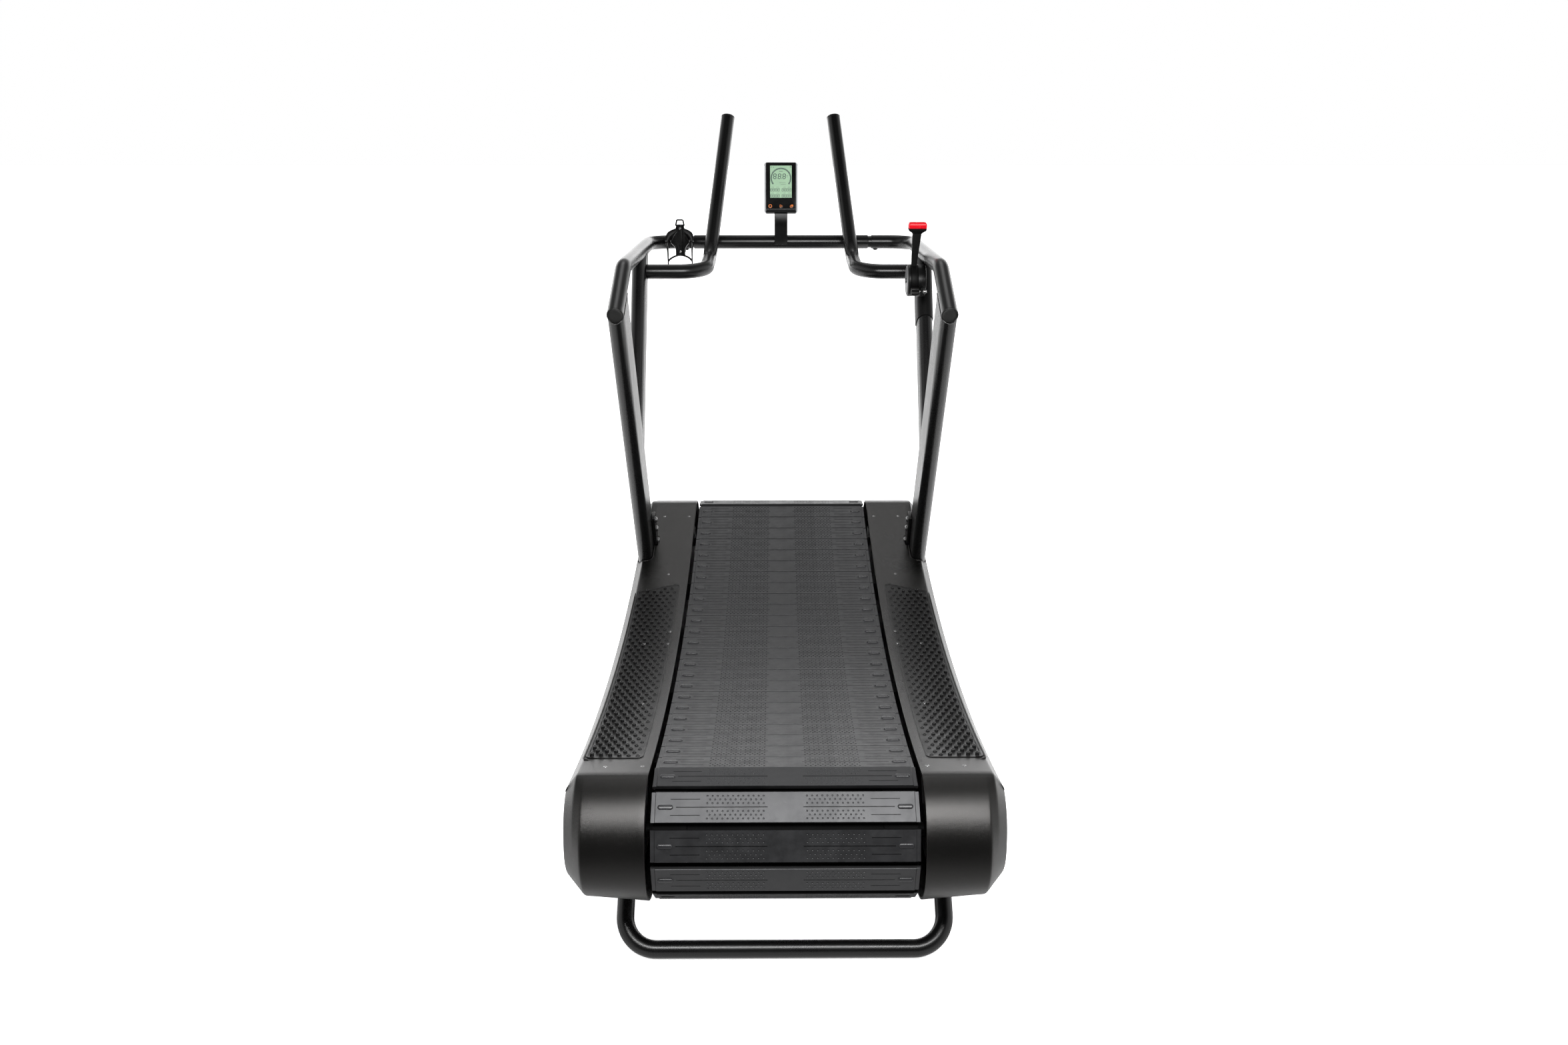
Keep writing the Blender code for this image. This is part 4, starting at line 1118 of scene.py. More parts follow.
def plug(name, tip, direction):
    """Domed plastic plug: thin rim, shallow dished face."""
    profile = [(0.0000, 0.0178), (0.0002, 0.0188), (0.0012, 0.0192), (0.0030, 0.0190),
               (0.0036, 0.0184), (0.0040, 0.0172), (0.0036, 0.0166), (0.0036, 0.0120),
               (0.0037, 0.0005)]
    return spun(name, profile, tip, direction, CAP, 64)


def uprights(sign, side):
    """The leaning upright, the post ahead of it, and their welds to the rail."""
    x = sign * UPRIGHT_X
    upright = coped(f"{side}_upright_tube", x, UPRIGHT_FOOT, LEAN, UPRIGHT_SIZE,
                    lambda offset, foot: 0.0, to_line(GRIP_END, GRIP_DIR, LEAN), POWDER)
    combine(upright, [tube_room(x, GRIP_END, GRIP_DIR, RAIL_ROOM)])
    put(upright, "powder_black", f"{side}_upright")
    edge = on_upright(0.0, 0.041)
    post = coped(f"{side}_post_tube", x, POST_FOOT, POST_DIR, POST_SIZE,
                 to_line(edge, LEAN, POST_DIR), to_line(GRIP_BEND, RAIL_DIR, POST_DIR), POWDER)
    rail_point = GRIP_BEND + RAIL_DIR * 0.39
    combine(post, [tube_room(x, edge + LEAN * 0.49, LEAN, 0.0192),
                   tube_room(x, rail_point, RAIL_DIR, RAIL_ROOM)])
    put(post, "powder_black", f"{side}_front_post")
    beads = [rail_weld(x, UPRIGHT_FOOT, LEAN, UPRIGHT_SIZE, GRIP_END, GRIP_DIR),
             rail_weld(x, POST_FOOT, POST_DIR, POST_SIZE, GRIP_BEND, RAIL_DIR)]
    put(joined(f"{side}_post_welds", beads), "powder_black")


def handrail(sign, side):
    x = sign * UPRIGHT_X
    corners = [(x, *(GRIP_END + GRIP_DIR * 0.0043)), (x, *GRIP_BEND), (x, BAR_Y, BAR_Z),
               (sign * 0.2580, BAR_Y, BAR_Z)]
    rail = swept(f"{side}_rail_tube", corner_path(corners, [0.10, 0.072]), circle(RAIL_R, 56),
                 (1, 0, 0), POWDER)
    put(rail, "powder_black", f"{side}_handrail")
    tip = (x, *(GRIP_END + GRIP_DIR * 0.0041))
    put(plug(f"{side}_grip_plug", tip, (0, *-GRIP_DIR)), "black_plastic", f"{side}_grip_cap")


def horn(sign, side):
    """The bent tube from the post inwards, forward and up."""
    corners = [(sign * (UPRIGHT_X - 0.0192), *HORN_ROOT), (sign * 0.200, *HORN_ROOT),
               (sign * 0.200, 1.622, 1.177), (sign * 0.1520, 1.8300, 1.5510)]
    path = corner_path(corners, [0.075, 0.080])
    tube = swept(f"{side}_horn_tube", path, circle(RAIL_R, 56), (0, 0, 1), POWDER)
    put(tube, "powder_black", f"{side}_horn")
    up = (path[-1] - path[-2]).normalized()
    cap = plug(f"{side}_horn_plug", tuple(path[-1] - up * 0.0001), tuple(up))
    put(cap, "black_plastic", f"{side}_horn_cap")
    root = [(sign * (UPRIGHT_X - 0.0195), *point) for point in circle(0.0192, 40, HORN_ROOT)]
    put(weld(f"{side}_horn_weld", root, 0.0014), "powder_black")


def upright_plate(sign, side):
    """Bolting plate on the upright's inner face."""
    # Up and forward from the upright's foot.
    corners = ((-0.002, -0.030), (-0.002, 0.058), (0.176, 0.058), (0.187, 0.054),
               (0.192, 0.044), (0.192, 0.022), (0.02, 0.018), (0.008, -0.030))
    outline = [tuple(on_upright(*corner)) for corner in corners]
    low, high = sorted((sign * 0.2903, sign * 0.350))
    parts = [
        prism("plate", outline, sign * 0.3465, sign * (UPRIGHT_X - 0.0193), POWDER, 0.0012),
        block("spacer", (low, 1.330, 0.300), (high, 1.405, 0.345), POWDER, 0.001),
    ]
    for spot in ((0.170, 0.040), (0.134, 0.040), (0.084, 0.042)):
        y, z = on_upright(*spot)
        parts += button_bolt((sign * 0.3466, float(y), float(z)), (-sign, 0, 0),
                             radius=0.0076, height=0.0056, mat=SCREW)
    put(joined(f"{side}_upright_plate", parts), "powder_black", f"{side}_upright_bracket")


for sign, side in SIDES:
    uprights(sign, side)
    handrail(sign, side)
    horn(sign, side)
    upright_plate(sign, side)

# Crossbar, necked down at both ends: (x, radius) of its left half.
half = [(-0.2577, 0.0164), (-0.2490, 0.0164), (-0.2484, 0.0170), (-0.2478, 0.0186),
        (-0.2466, 0.0190)]
profile = half + [(-x, radius) for x, radius in reversed(half)]
put(turned("crossbar_tube", profile, (BAR_Y, BAR_Z), POWDER, 56), "powder_black",
    "centre_crossbar")
for sign, side in SIDES:
    parts = button_bolt((sign * 0.2700, BAR_Y, BAR_Z - 0.0191), (0, 0, -1),
                        radius=0.0062, height=0.0042, mat=DARK_STEEL)
    put(joined(f"{side}_crossbar_bolt", parts), "steel")

for end, top, bottom in (("rear", (0.292, 0.2065), (0.1025, 0.017)),
                         ("front", (1.455, 0.243), FRONT_BAR)):
    corners = [(-FOOT_X, *top), (-FOOT_X, *bottom), (FOOT_X, *bottom), (FOOT_X, *top)]
    leg = swept(f"{end}_foot_bar", corner_path(corners, [0.062, 0.062]), circle(0.017, 48),
                (1, 0, 0), POWDER)
    put(leg, "powder_black", f"{end}_foot_tube")

# ================================================================ feet and wheels
WHEEL = (1.628, 0.046)
# Profiles as (x, radius).
TYRE_RING = ((0.3405, 0.0250), (0.3405, 0.0330), (0.3410, 0.0345), (0.3422, 0.0356),
             (0.3445, 0.0360), (0.3605, 0.0360), (0.3628, 0.0356), (0.3640, 0.0345),
             (0.3645, 0.0330), (0.3645, 0.0250), (0.3600, 0.0245), (0.3450, 0.0245))
DISC_RING = ((0.3440, 0.0244), (0.3440, 0.0105), (0.3420, 0.0098), (0.3415, 0.0090),
             (0.3415, 0.0053), (0.3640, 0.0053), (0.3640, 0.0090), (0.3632, 0.0098),
             (0.3610, 0.0105), (0.3610, 0.0244))
AXLE = ((0.3320, 0.0050), (0.3650, 0.0050), (0.3651, 0.0088), (0.3654, 0.0092),
        (0.3672, 0.0090), (0.3685, 0.0078), (0.3690, 0.0050))
# The lug runs from the axle up the leg of the front foot tube.
LUG = [(1.608, 0.036), (1.617, 0.030), (1.628, 0.0285), (1.640, 0.034), (1.6440, 0.046),
       (1.640, 0.058), (1.561, 0.125), (1.545, 0.122), (1.538, 0.108), (1.545, 0.098)]


def outward(sign, profile):
    return [(sign * x, radius) for x, radius in profile]


def front_foot(sign, side):
    """Rubber sleeve on the foot tube with a grooved flat sole."""
    middle = sign * 0.197
    sleeve = ((0.170, 0.0215), (0.171, 0.0225), (0.224, 0.0225), (0.225, 0.0215))
    foot = turned(f"{side}_foot_block", outward(sign, sleeve), (1.600, 0.0405), PAD, 48)
    sole = block("sole", (middle - 0.0275, 1.572, 0.0), (middle + 0.0275, 1.628, 0.0335), PAD)
    bore = turned("cut", [(sign * 0.15, 0.0172), (sign * 0.25, 0.0172)], FRONT_BAR, steps=48)
    combine(foot, [sole], "UNION")
    grooves = [block("groove", (middle - 0.03, y - 0.0016, -0.001),
                     (middle + 0.03, y + 0.0016, 0.0022))
               for y in (1.584, 1.594, 1.604, 1.614)]
    combine(foot, [bore] + grooves)
    bevelled(foot, 0.0009, 2)
    put(foot, "pad_rubber", f"{side}_front_foot")


def wheel(sign, side):
    parts = [turned("tyre", outward(sign, TYRE_RING), WHEEL, TYRE, bored=True),
             turned("disc", outward(sign, DISC_RING), WHEEL, BLACK, bored=True)]
    put(joined(f"{side}_wheel_tyre", parts), "wheel_rubber", f"{side}_transport_wheel",
        body=f"{side}_wheel")
    parts = [prism("lug", LUG, sign * 0.3252, sign * 0.3330, POWDER, 0.0008),
             turned("axle", outward(sign, AXLE), WHEEL, ZINC, 40)]
    put(joined(f"{side}_axle_bolt", parts), "steel", f"{side}_wheel_axle")


for sign, side in SIDES:
    front_foot(sign, side)
    wheel(sign, side)

# ================================================================ console
TILT = math.radians(17)
FACE_UP = Vector((0, math.sin(TILT), math.cos(TILT)))
FACE_OUT = Vector((0, -math.cos(TILT), math.sin(TILT)))
FACE_MIDDLE = Vector((0, 1.678, 1.3615))


def face_point(x, up, out):
    """A point from across, up and out of the console face."""
    return tuple(FACE_MIDDLE + Vector((x, 0, 0)) + FACE_UP * up + FACE_OUT * out)


def face_loop(outline, out):
    return [face_point(x, up, out) for x, up in outline]


def face_box(half, bottom, top, out, corner, steps):
    return face_loop(round_box(-half, bottom, half, top, corner, steps), out)


def face_flat(name, outline, low, high, mat=None):
    return loft(name, [face_loop(outline, low), face_loop(outline, high)], mat)


# Housing sections from back to front: half width, bottom, top, out, corner radius.
HOUSING = (
    (0.0385, -0.0596, 0.0670, -0.0340, 0.0060), (0.0400, -0.0612, 0.0688, -0.0338, 0.0068),
    (0.0440, -0.0648, 0.0725, -0.0300, 0.0078), (0.0458, -0.0665, 0.0743, -0.0250, 0.0080),
    (0.0465, -0.0672, 0.0750, -0.0185, 0.0080), (0.0465, -0.0672, 0.0750, -0.0070, 0.0080),
    (0.0463, -0.0670, 0.0748, -0.0060, 0.0076), (0.0456, -0.0664, 0.0743, -0.0050, 0.0064),
    (0.0424, -0.0598, 0.0728, -0.0007, 0.0028), (0.0420, -0.0587, 0.0722, -0.0001, 0.0020),
    (0.0416, -0.0582, 0.0716, 0.0000, 0.0016),
)
KEYS = (("reset_key", -0.0300), ("start_key", 0.0), ("mode_key", 0.0300))
KEY_UP = -0.0496

housing = loft("console_shell", [face_box(*row, 10) for row in HOUSING], GLOSS, sharp=30)
cuts = [loft("cut", [face_box(0.0308, -0.0264, 0.0646, out, 0.0012, 4)
                     for out in (-0.0045, 0.010)])]
cuts += [face_flat("cut", circle(0.0061, 40, (x, KEY_UP)), -0.0060, 0.01) for _, x in KEYS]
combine(housing, cuts, sharp=30)
housing.data.materials.append(SIDE_REFLECTION_GREY)
# Painted reflection: the sloping strips at the left and right of the face are coloured light
# grey, standing in for the light they reflect.
for poly in housing.data.polygons:
    sideways = 0.0418 < abs(poly.center.x) < 0.0464 and abs(poly.normal.x) > 0.35
    if sideways and poly.normal.dot(FACE_OUT) > 0.30:
        poly.material_index = 1
put(housing, "black_plastic", "console_housing")

window = [(0.0305, -0.0261, 0.0643, -0.0042, 0.0010), (0.0305, -0.0261, 0.0643, -0.0013, 0.0010),
          (0.0302, -0.0258, 0.0640, -0.0010, 0.0008)]
window = loft("lcd_window", [face_box(*row, 4) for row in window], lcd_glass())
put(window, "lcd", "console_screen")

# LCD print, collected as thin flats.
INK_LOW, INK_HIGH = -0.00102, -0.00092
ink = []


def stroke(start, end, width):
    """A flat bar with pointed ends, as an LCD segment."""
    start, end = np.array(start, float), np.array(end, float)
    length = float(np.hypot(*(end - start)))
    along = (end - start) / length
    side = -clockwise(along) * width / 2
    tip = along * min(width / 2, length * 0.3)
    outline = [start, start + tip + side, end - tip + side, end, end - tip - side,
               start + tip - side]
    outline = [(float(x), float(up)) for x, up in outline]
    ink.append(face_flat("ink", outline, INK_LOW, INK_HIGH, INK_DARK))


def digit(x, up, width, height, line, lean):
    """An eight in seven segments about (x, up)."""
    wide, high = width / 2 - line / 2, height / 2 - line / 2
    gap = line * 0.16
    segments = [((-wide + gap, level), (wide - gap, level)) for level in (high, 0, -high)]
    for low, top in ((gap, high - gap), (-high + gap, -gap)):
        segments += [((edge, low), (edge, top)) for edge in (-wide, wide)]
    for ends in segments:
        stroke(*[(x + a + b * lean, up + b) for a, b in ends], line)


def ticks(x, up, width, height, count, line=0.00044):
    """A row of small linked upright ticks, standing for an unreadable caption."""
    for i in range(count):
        left = x - width / 2 + width * (i + 0.5) / count
        tall = height * (0.62 + 0.38 * ((i * 5 + count) % 3) / 2)
        stroke((left, up - tall / 2), (left, up + tall / 2), line)
        if i % 2 == 0 and i + 1 < count:
            level = up + (tall / 2 if i % 4 else -tall / 2) * 0.8
            stroke((left, level), (left + width / count * 0.9, level), line)


def gauge_patch(corners, count):
    """A flat on the gauge: corners as (radius, step), count steps to the full sweep."""
    outline = []
    for radius, step in corners:
        angle = math.radians(218.0 - 256.0 * step / count)
        outline.append((radius * math.cos(angle), 0.0290 + radius * math.sin(angle)))
    ink.append(face_flat("ink", outline, INK_LOW, INK_HIGH, INK))


for i in range(66):
    low, high = i + 0.12, i + 0.88
    gauge_patch(((0.0257, low), (0.0288, low), (0.0288, high), (0.0257, high)), 66)
for inner in (0.0254, 0.0291):
    outer = inner + 0.0003
    for i in range(64):
        gauge_patch(((inner, i), (inner, i + 1), (outer, i + 1), (outer, i)), 64)
for x in (-0.0172, -0.0040, 0.0092):
    digit(x, 0.0342, width=0.0090, height=0.0150, line=0.0018, lean=0.07)
for x in (-0.0108, 0.0024):
    stroke((x - 0.0009, 0.0278), (x + 0.0009, 0.0278), 0.0018)
# Captions in and above the gauge: x, up, width, height, ticks, line.
for caption in (
    (0.0003, 0.0480, 0.0100, 0.0018, 9, 0.00070), (0.0178, 0.0358, 0.0060, 0.0017, 5),
    (0.0178, 0.0322, 0.0046, 0.0015, 4), (-0.0273, 0.0600, 0.0030, 0.0030, 3),
    (-0.0208, 0.0596, 0.0034, 0.0026, 3),
):
    ticks(*caption)
# Two bars at the top right, then a bent line under the digits: start, end, width.
for line in (
    ((0.0248, 0.0604), (0.0288, 0.0604), 0.0015), ((0.0291, 0.0604), (0.0297, 0.0604), 0.0007),
    ((-0.0040, 0.0176), (-0.0018, 0.0148), 0.0004),
    ((-0.0036, 0.0172), (0.0130, 0.0170), 0.00035),
):
    stroke(*line)
ticks(0.0066, 0.0120, 0.0140, 0.0017, 11)
# Two rows of readouts: height of the digits' middle, height of the captions, digit height.
for up, caption, tall in ((-0.0038, 0.0036, 0.0090), (-0.0208, -0.0130, 0.0088)):
    for group in (-0.0272, 0.0052):
        for k in range(4):
            digit(group + 0.00685 * k, up, width=0.0058, height=tall, line=0.00088, lean=0.05)
    for x, wide, count in ((-0.0232, 0.0066, 6), (-0.0090, 0.0070, 5), (0.0100, 0.0056, 4),
                           (0.0232, 0.0080, 7)):
        ticks(x, caption, wide, 0.0017, count)
put(joined("lcd_segments", ink), "lcd")

PRINT_LOW, PRINT_HIGH = 0.00058, 0.00078


def band(outer, inner):
    """A printed ring between two outlines of the same count."""
    edges = ((outer, PRINT_LOW), (outer, PRINT_HIGH), (inner, PRINT_HIGH), (inner, PRINT_LOW))
    return loft("band", [face_loop(*edge) for edge in edges], ORANGE, closed=True)


def key_box(x, left, bottom, right, top, corner):
    outline = box(x + left, KEY_UP + bottom, x + right, KEY_UP + top)
    return rounded(outline, corner)


def key_icons(key, x):
    if key == "reset_key":
        return [band(circle(0.0050, 48, (x, KEY_UP)), circle(0.0034, 48, (x, KEY_UP)))]
    if key == "start_key":
        large = [(x - 0.0034, KEY_UP - 0.0049), (x + 0.0050, KEY_UP),
                 (x - 0.0034, KEY_UP + 0.0049)]
        small = [(x - 0.0023, KEY_UP - 0.0031), (x + 0.0032, KEY_UP),
                 (x - 0.0023, KEY_UP + 0.0031)]
        return [band(rounded(large, 0.0011), rounded(small, 0.0003))]
    near = key_box(x, -0.0046, -0.0042, 0.0020, 0.0018, 0.0011)
    hole = key_box(x, -0.0034, -0.0031, 0.0010, 0.0008, 0.0006)
    back = key_box(x, -0.0014, -0.0012, 0.0044, 0.0040, 0.0011)
    return [band(near, hole), face_flat("back", back, PRINT_LOW, PRINT_HIGH - 0.00005, ORANGE)]


for key, x in KEYS:
    button = [face_loop(circle(radius, 48, (x, KEY_UP)), out)
              for radius, out in ((0.0058, -0.0045), (0.0058, 0.0002), (0.0056, 0.0005),
                                  (0.0052, 0.0006))]
    parts = [loft("disc", button, BLACK)] + key_icons(key, x)
    put(joined(f"{key}_printed", parts), "orange_print", key, body=key)


def console_stalk():
    """Stalk from the housing down to a saddle over the crossbar."""
    reach = (RAIL_R + 0.0003) / math.cos(math.radians(3))
    outline = []
    for i in range(33):
        angle = math.radians(196 - 212 * i / 32)
        outline.append((BAR_Y + reach * math.cos(angle), BAR_Z + reach * math.sin(angle)))
    top_near = face_point(0, -0.0675, -0.008)[1:]
    top_far = face_point(0, -0.0660, -0.031)[1:]
    outline += [(BAR_Y + 0.0260, BAR_Z - 0.0055), (BAR_Y + 0.0260, BAR_Z + 0.020),
                top_far, top_near]
    near_y, near_z = BAR_Y - 0.0260, BAR_Z + 0.022
    for i in range(1, 12):
        # The rider's side bows out a little on its way down to the saddle.
        t = i / 12
        y = top_near[0] + (near_y - top_near[0]) * t
        z = top_near[1] + (near_z - top_near[1]) * t
        outline.append((y - 0.0050 * math.sin(math.pi * t), z))
    outline += [(near_y, near_z), (near_y, BAR_Z - 0.0055)]
    stalk = prism("console_stalk", outline, -0.0182, 0.0182, BLACK, 0.0016)
    put(stalk, "black_plastic", "console_neck")


console_stalk()

# ================================================================ bottle cage
CAGE_X = -0.2850
CAGE_R = 0.0395
CAGE_Y = BAR_Y - 0.0335 - CAGE_R
WIRE_R = CAGE_R - 0.0018  # middle line of the cage's bars


def cage_clamp():
    """Split band round the crossbar with a flat pad towards the cage."""
    half = ((0.015, 0.0222), (0.0142, 0.0232), (0.0130, 0.0235))
    profile = [(CAGE_X - x, radius) for x, radius in half]
    profile += [(CAGE_X + x, radius) for x, radius in reversed(half)]
    clamp = turned("clamp_band", profile, (BAR_Y, BAR_Z), BLACK)
    pad = block("pad", (CAGE_X - 0.0140, BAR_Y - 0.0330, BAR_Z - 0.026),
                (CAGE_X + 0.0140, BAR_Y - 0.0150, BAR_Z + 0.026))
    combine(clamp, [pad], "UNION")
    slots = []
    for z in (BAR_Z - 0.0255, BAR_Z + 0.0255):
        slots.append(block("split", (CAGE_X - 0.02, BAR_Y + 0.0020 - 0.0006, z - 0.006),
                           (CAGE_X + 0.02, BAR_Y + 0.0020 + 0.0006, z + 0.006)))
    bore = [(CAGE_X - 0.03, RAIL_R + 0.0003), (CAGE_X + 0.03, RAIL_R + 0.0003)]
    combine(clamp, [turned("cut", bore, (BAR_Y, BAR_Z))] + slots)
    put(clamp, "black_plastic", "cage_clamp")


def cage_point(degrees, radius, z):
    """A point round the bottle's axis; 0 degrees is forward, at the clamp."""
    angle = math.radians(degrees)
    return (CAGE_X + radius * math.sin(angle), CAGE_Y + radius * math.cos(angle), z)


def flat_bar(thick, wide):
    """Elliptic section from its half sizes."""
    return [(thick * math.cos(i * math.pi / 8), wide * math.sin(i * math.pi / 8))
            for i in range(16)]


# Back plate: height, half angle in degrees.
PLATE = ((1.1780, 20.5), (1.1860, 20.0), (1.1960, 21.0), (1.2040, 27.0), (1.2110, 39.0),
         (1.2200, 47.0), (1.2300, 50.0), (1.2380, 47.0), (1.2440, 33.0), (1.2500, 20.5),
         (1.2580, 18.0), (1.2640, 17.0))
# Arm, over the shoulder, round the outside and down to the ring: degrees, height, half width.
ARM = ((16, 1.2480, 0.0056), (32, 1.2430, 0.0076), (52, 1.2370, 0.0084), (68, 1.2280, 0.0070),
       (78, 1.2180, 0.0050), (70, 1.2060, 0.0036), (66, 1.1900, 0.0026), (66, 1.1700, 0.0021),
       (66, 1.1500, 0.0021))
ARM_HALF = 0.0036


def cage_plate():
    """Curved back plate with narrow ends and wide shoulders."""
    loops = []
    for i in range(61):
        z = 1.1780 + (1.2640 - 1.1780) * i / 60
        half = float(np.interp(z, *zip(*PLATE)))
        loop = [cage_point(half * (2 * k / 20 - 1), CAGE_R - 0.0002, z) for k in range(21)]
        for k in range(21):
            degrees = half * (1 - 2 * k / 20)
            # A shallow channel runs down the middle between two raised ribs.
            rib = 0.0012 * math.exp(-(((abs(degrees) - 14.5) / 3.2) ** 2))
            rib += 0.0009 * math.exp(-(((abs(degrees) - half) / 3.0) ** 2))
            loop.append(cage_point(degrees, CAGE_R - 0.0028 - rib, z))
        loops.append(loop)
    return loft("cage_shell", loops, GLOSS, sharp=40)


def cage_arm(sign):
    stations = [i / 6 for i in range(6 * (len(ARM) - 1) + 1)]
    angles, heights, widths = (np.interp(stations, range(len(ARM)), column)
                               for column in zip(*ARM))
    path = [Vector(cage_point(sign * degrees, WIRE_R - 0.0006, z))
            for degrees, z in zip(angles, heights)]
    for _ in range(4):
        middle = [(path[k - 1] + 2 * path[k] + path[k + 1]) / 4
                  for k in range(1, len(path) - 1)]
        path = [path[0]] + middle + [path[-1]]
    return swept("arm", path, flat_bar(0.0017, ARM_HALF), (0, 1, 0), GLOSS,
                 scales=[float(width) / ARM_HALF for width in widths])


def cage_brace(sign):
    path = []
    for i in range(17):
        t = i / 16
        z = 1.2440 - 0.0440 * t + 0.004 * math.sin(math.pi * t)
        path.append(cage_point(sign * (14 + 46 * t), CAGE_R - 0.0044, z))
    return swept("brace", path, circle(0.0017, 12), (0, 0, 1), GLOSS)


def bottle_cage():
    top = [cage_point(degrees, WIRE_R, z) for degrees, z in
           ((-18.5, 1.2600), (-13.5, 1.2765), (13.5, 1.2765), (18.5, 1.2600))]
    # Lower arch: a flat band from the foot of the plate round to the arms.
    arch = [cage_point(degrees, WIRE_R, 1.1790 - 0.0150 * (abs(degrees) / 64.0) ** 1.7)
            for degrees in range(-64, 65, 4)]
    ring = [cage_point(degrees, WIRE_R, 1.1500 - 0.0085 * (1 - math.cos(math.radians(degrees))))
            for degrees in range(66, 295, 4)]
    parts = [
        cage_plate(),
        swept("rod", corner_path(top, [0.0042, 0.0042], 8), circle(0.0023, 14), (0, 1, 0), GLOSS),
        swept("arch", arch, flat_bar(0.0011, 0.0026), (0, 1, 0), GLOSS),
        swept("ring", ring, circle(0.0024, 16), (0, 0, 1), GLOSS),
    ]
    for sign in (-1, 1):
        parts += [cage_arm(sign), cage_brace(sign)]
    put(joined("bottle_cage_body", parts), "black_plastic", "bottle_cage")
    head = [(-0.0012, 0.0040), (0.0004, 0.0040), (0.0012, 0.0036), (0.0019, 0.0026),
            (0.0021, 0.0016), (0.0010, 0.0014)]
    heads = [spun("screw", head, (CAGE_X, CAGE_Y + CAGE_R - 0.0034, z), (0, -1, 0), SCREW, 28)
             for z in (1.2530, 1.1890)]
    put(joined("cage_screws", heads), "steel")


cage_clamp()
bottle_cage()

# ================================================================ resistance lever
HUB = (1.285, 1.150)
ADJUSTER = (HUB[0] - 0.0455, HUB[1] - 0.0225)
BACK = math.radians(6)  # the lever leans to the rear
LEVER_UP = np.array([-math.sin(BACK), math.cos(BACK)])
LEVER_SIDE = np.array([math.cos(BACK), math.sin(BACK)])
# Profiles as (x, radius).
HUB_SPOOL = ((0.3200, 0.0362), (0.3204, 0.0378), (0.3216, 0.0394), (0.3228, 0.0400),
             (0.3280, 0.0400), (0.3284, 0.0398), (0.3286, 0.0392), (0.3286, 0.0120),
             (0.3454, 0.0120), (0.3454, 0.0392), (0.3456, 0.0398), (0.3460, 0.0400),
             (0.3640, 0.0400), (0.3650, 0.0397), (0.3655, 0.0388))
HUB_FACE = ((0.3188, 0.0010), (0.3186, 0.0340), (0.3189, 0.0352), (0.3196, 0.0358),
            (0.3201, 0.0358))
HUB_BOLT = ((0.3190, 0.0062), (0.3164, 0.0062), (0.3156, 0.0054), (0.3154, 0.0032),
            (0.3172, 0.0029))
ADJUSTER_STEM = ((0.3400, 0.0030), (0.3578, 0.0030), (0.3580, 0.0034), (0.3584, 0.0036),
                 (0.3655, 0.0036), (0.3660, 0.0032))
LEVER_EYE = ((0.3290, 0.0384), (0.3293, 0.0390), (0.3300, 0.0392), (0.3440, 0.0392),
             (0.3447, 0.0390), (0.3450, 0.0384))
# Lever sections: height up the lever, x from, x to, half width, corner radius.
LEVER_STEM = (
    (0.030, 0.3296, 0.3428, 0.0075, 0.0016), (0.045, 0.3296, 0.3436, 0.0069, 0.0016),
    (0.060, 0.3296, 0.3449, 0.0065, 0.0016), (0.085, 0.3296, 0.3478, 0.0064, 0.0016),
    (0.105, 0.3296, 0.3503, 0.0065, 0.0016), (0.1290, 0.3296, 0.3529, 0.0065, 0.0016),
)
LEVER_SKIRT = (
    (0.1195, 0.3286, 0.3532, 0.0072, 0.002), (0.1218, 0.3272, 0.3552, 0.0083, 0.002),
    (0.1240, 0.3240, 0.3586, 0.0100, 0.0025), (0.1262, 0.3203, 0.3624, 0.0114, 0.003),
    (0.1282, 0.3190, 0.3640, 0.0120, 0.003), (0.1325, 0.3188, 0.3642, 0.0120, 0.003),
)
LEVER_CAP = (
    (0.1328, 0.3190, 0.3640, 0.0118, 0.0030), (0.1334, 0.3186, 0.3644, 0.0122, 0.0034),
    (0.1400, 0.3185, 0.3645, 0.0122, 0.0036), (0.1430, 0.3188, 0.3642, 0.0119, 0.0038),
    (0.1452, 0.3197, 0.3633, 0.0109, 0.0038), (0.1467, 0.3214, 0.3616, 0.0092, 0.0036),
    (0.1475, 0.3240, 0.3590, 0.0068, 0.0030),
)


def lever_hub():
    hub = turned("hub_spool", HUB_SPOOL, HUB, BLACK, 96)
    lug = block("lug", (0.3500, ADJUSTER[0] - 0.007, ADJUSTER[1] - 0.008),
                (0.3560, HUB[0] - 0.020, ADJUSTER[1] + 0.010))
    combine(hub, [lug], "UNION")
    combine(hub, [turned("cut", [(0.34, 0.0033), (0.37, 0.0033)], ADJUSTER, steps=32)])
    put(hub, "black_plastic", "lever_hub")
    parts = [turned("hub_face", HUB_FACE, HUB, GREY_PLASTIC, 96),
             turned("bolt", HUB_BOLT, HUB, DARK_STEEL, 40)]
    put(joined("hub_face_plate", parts), "steel")


def cable_adjuster():
    """Ribbed knob on a thin stem."""
    ribs = []
    for i in range(96):
        angle = 2 * math.pi * i / 96
        radius = 0.0095 + 0.0005 * math.cos(16 * angle)
        ribs.append((radius * math.cos(angle), radius * math.sin(angle)))
    # x, scale of the ribbed outline.
    rings = ((0.3268, 0.86), (0.3271, 0.93), (0.3278, 0.985), (0.3286, 1.0), (0.3455, 1.0),
             (0.3464, 0.985), (0.3470, 0.93))
    loops = [[(x, ADJUSTER[0] + y * scale, ADJUSTER[1] + z * scale) for y, z in ribs]
             for x, scale in rings]
    parts = [loft("knob", loops, BLACK, sharp=30),
             turned("stem", ADJUSTER_STEM, ADJUSTER, ZINC, 32)]
    put(joined("adjuster_knob", parts), "black_plastic", "cable_adjuster",
        body="cable_adjuster")


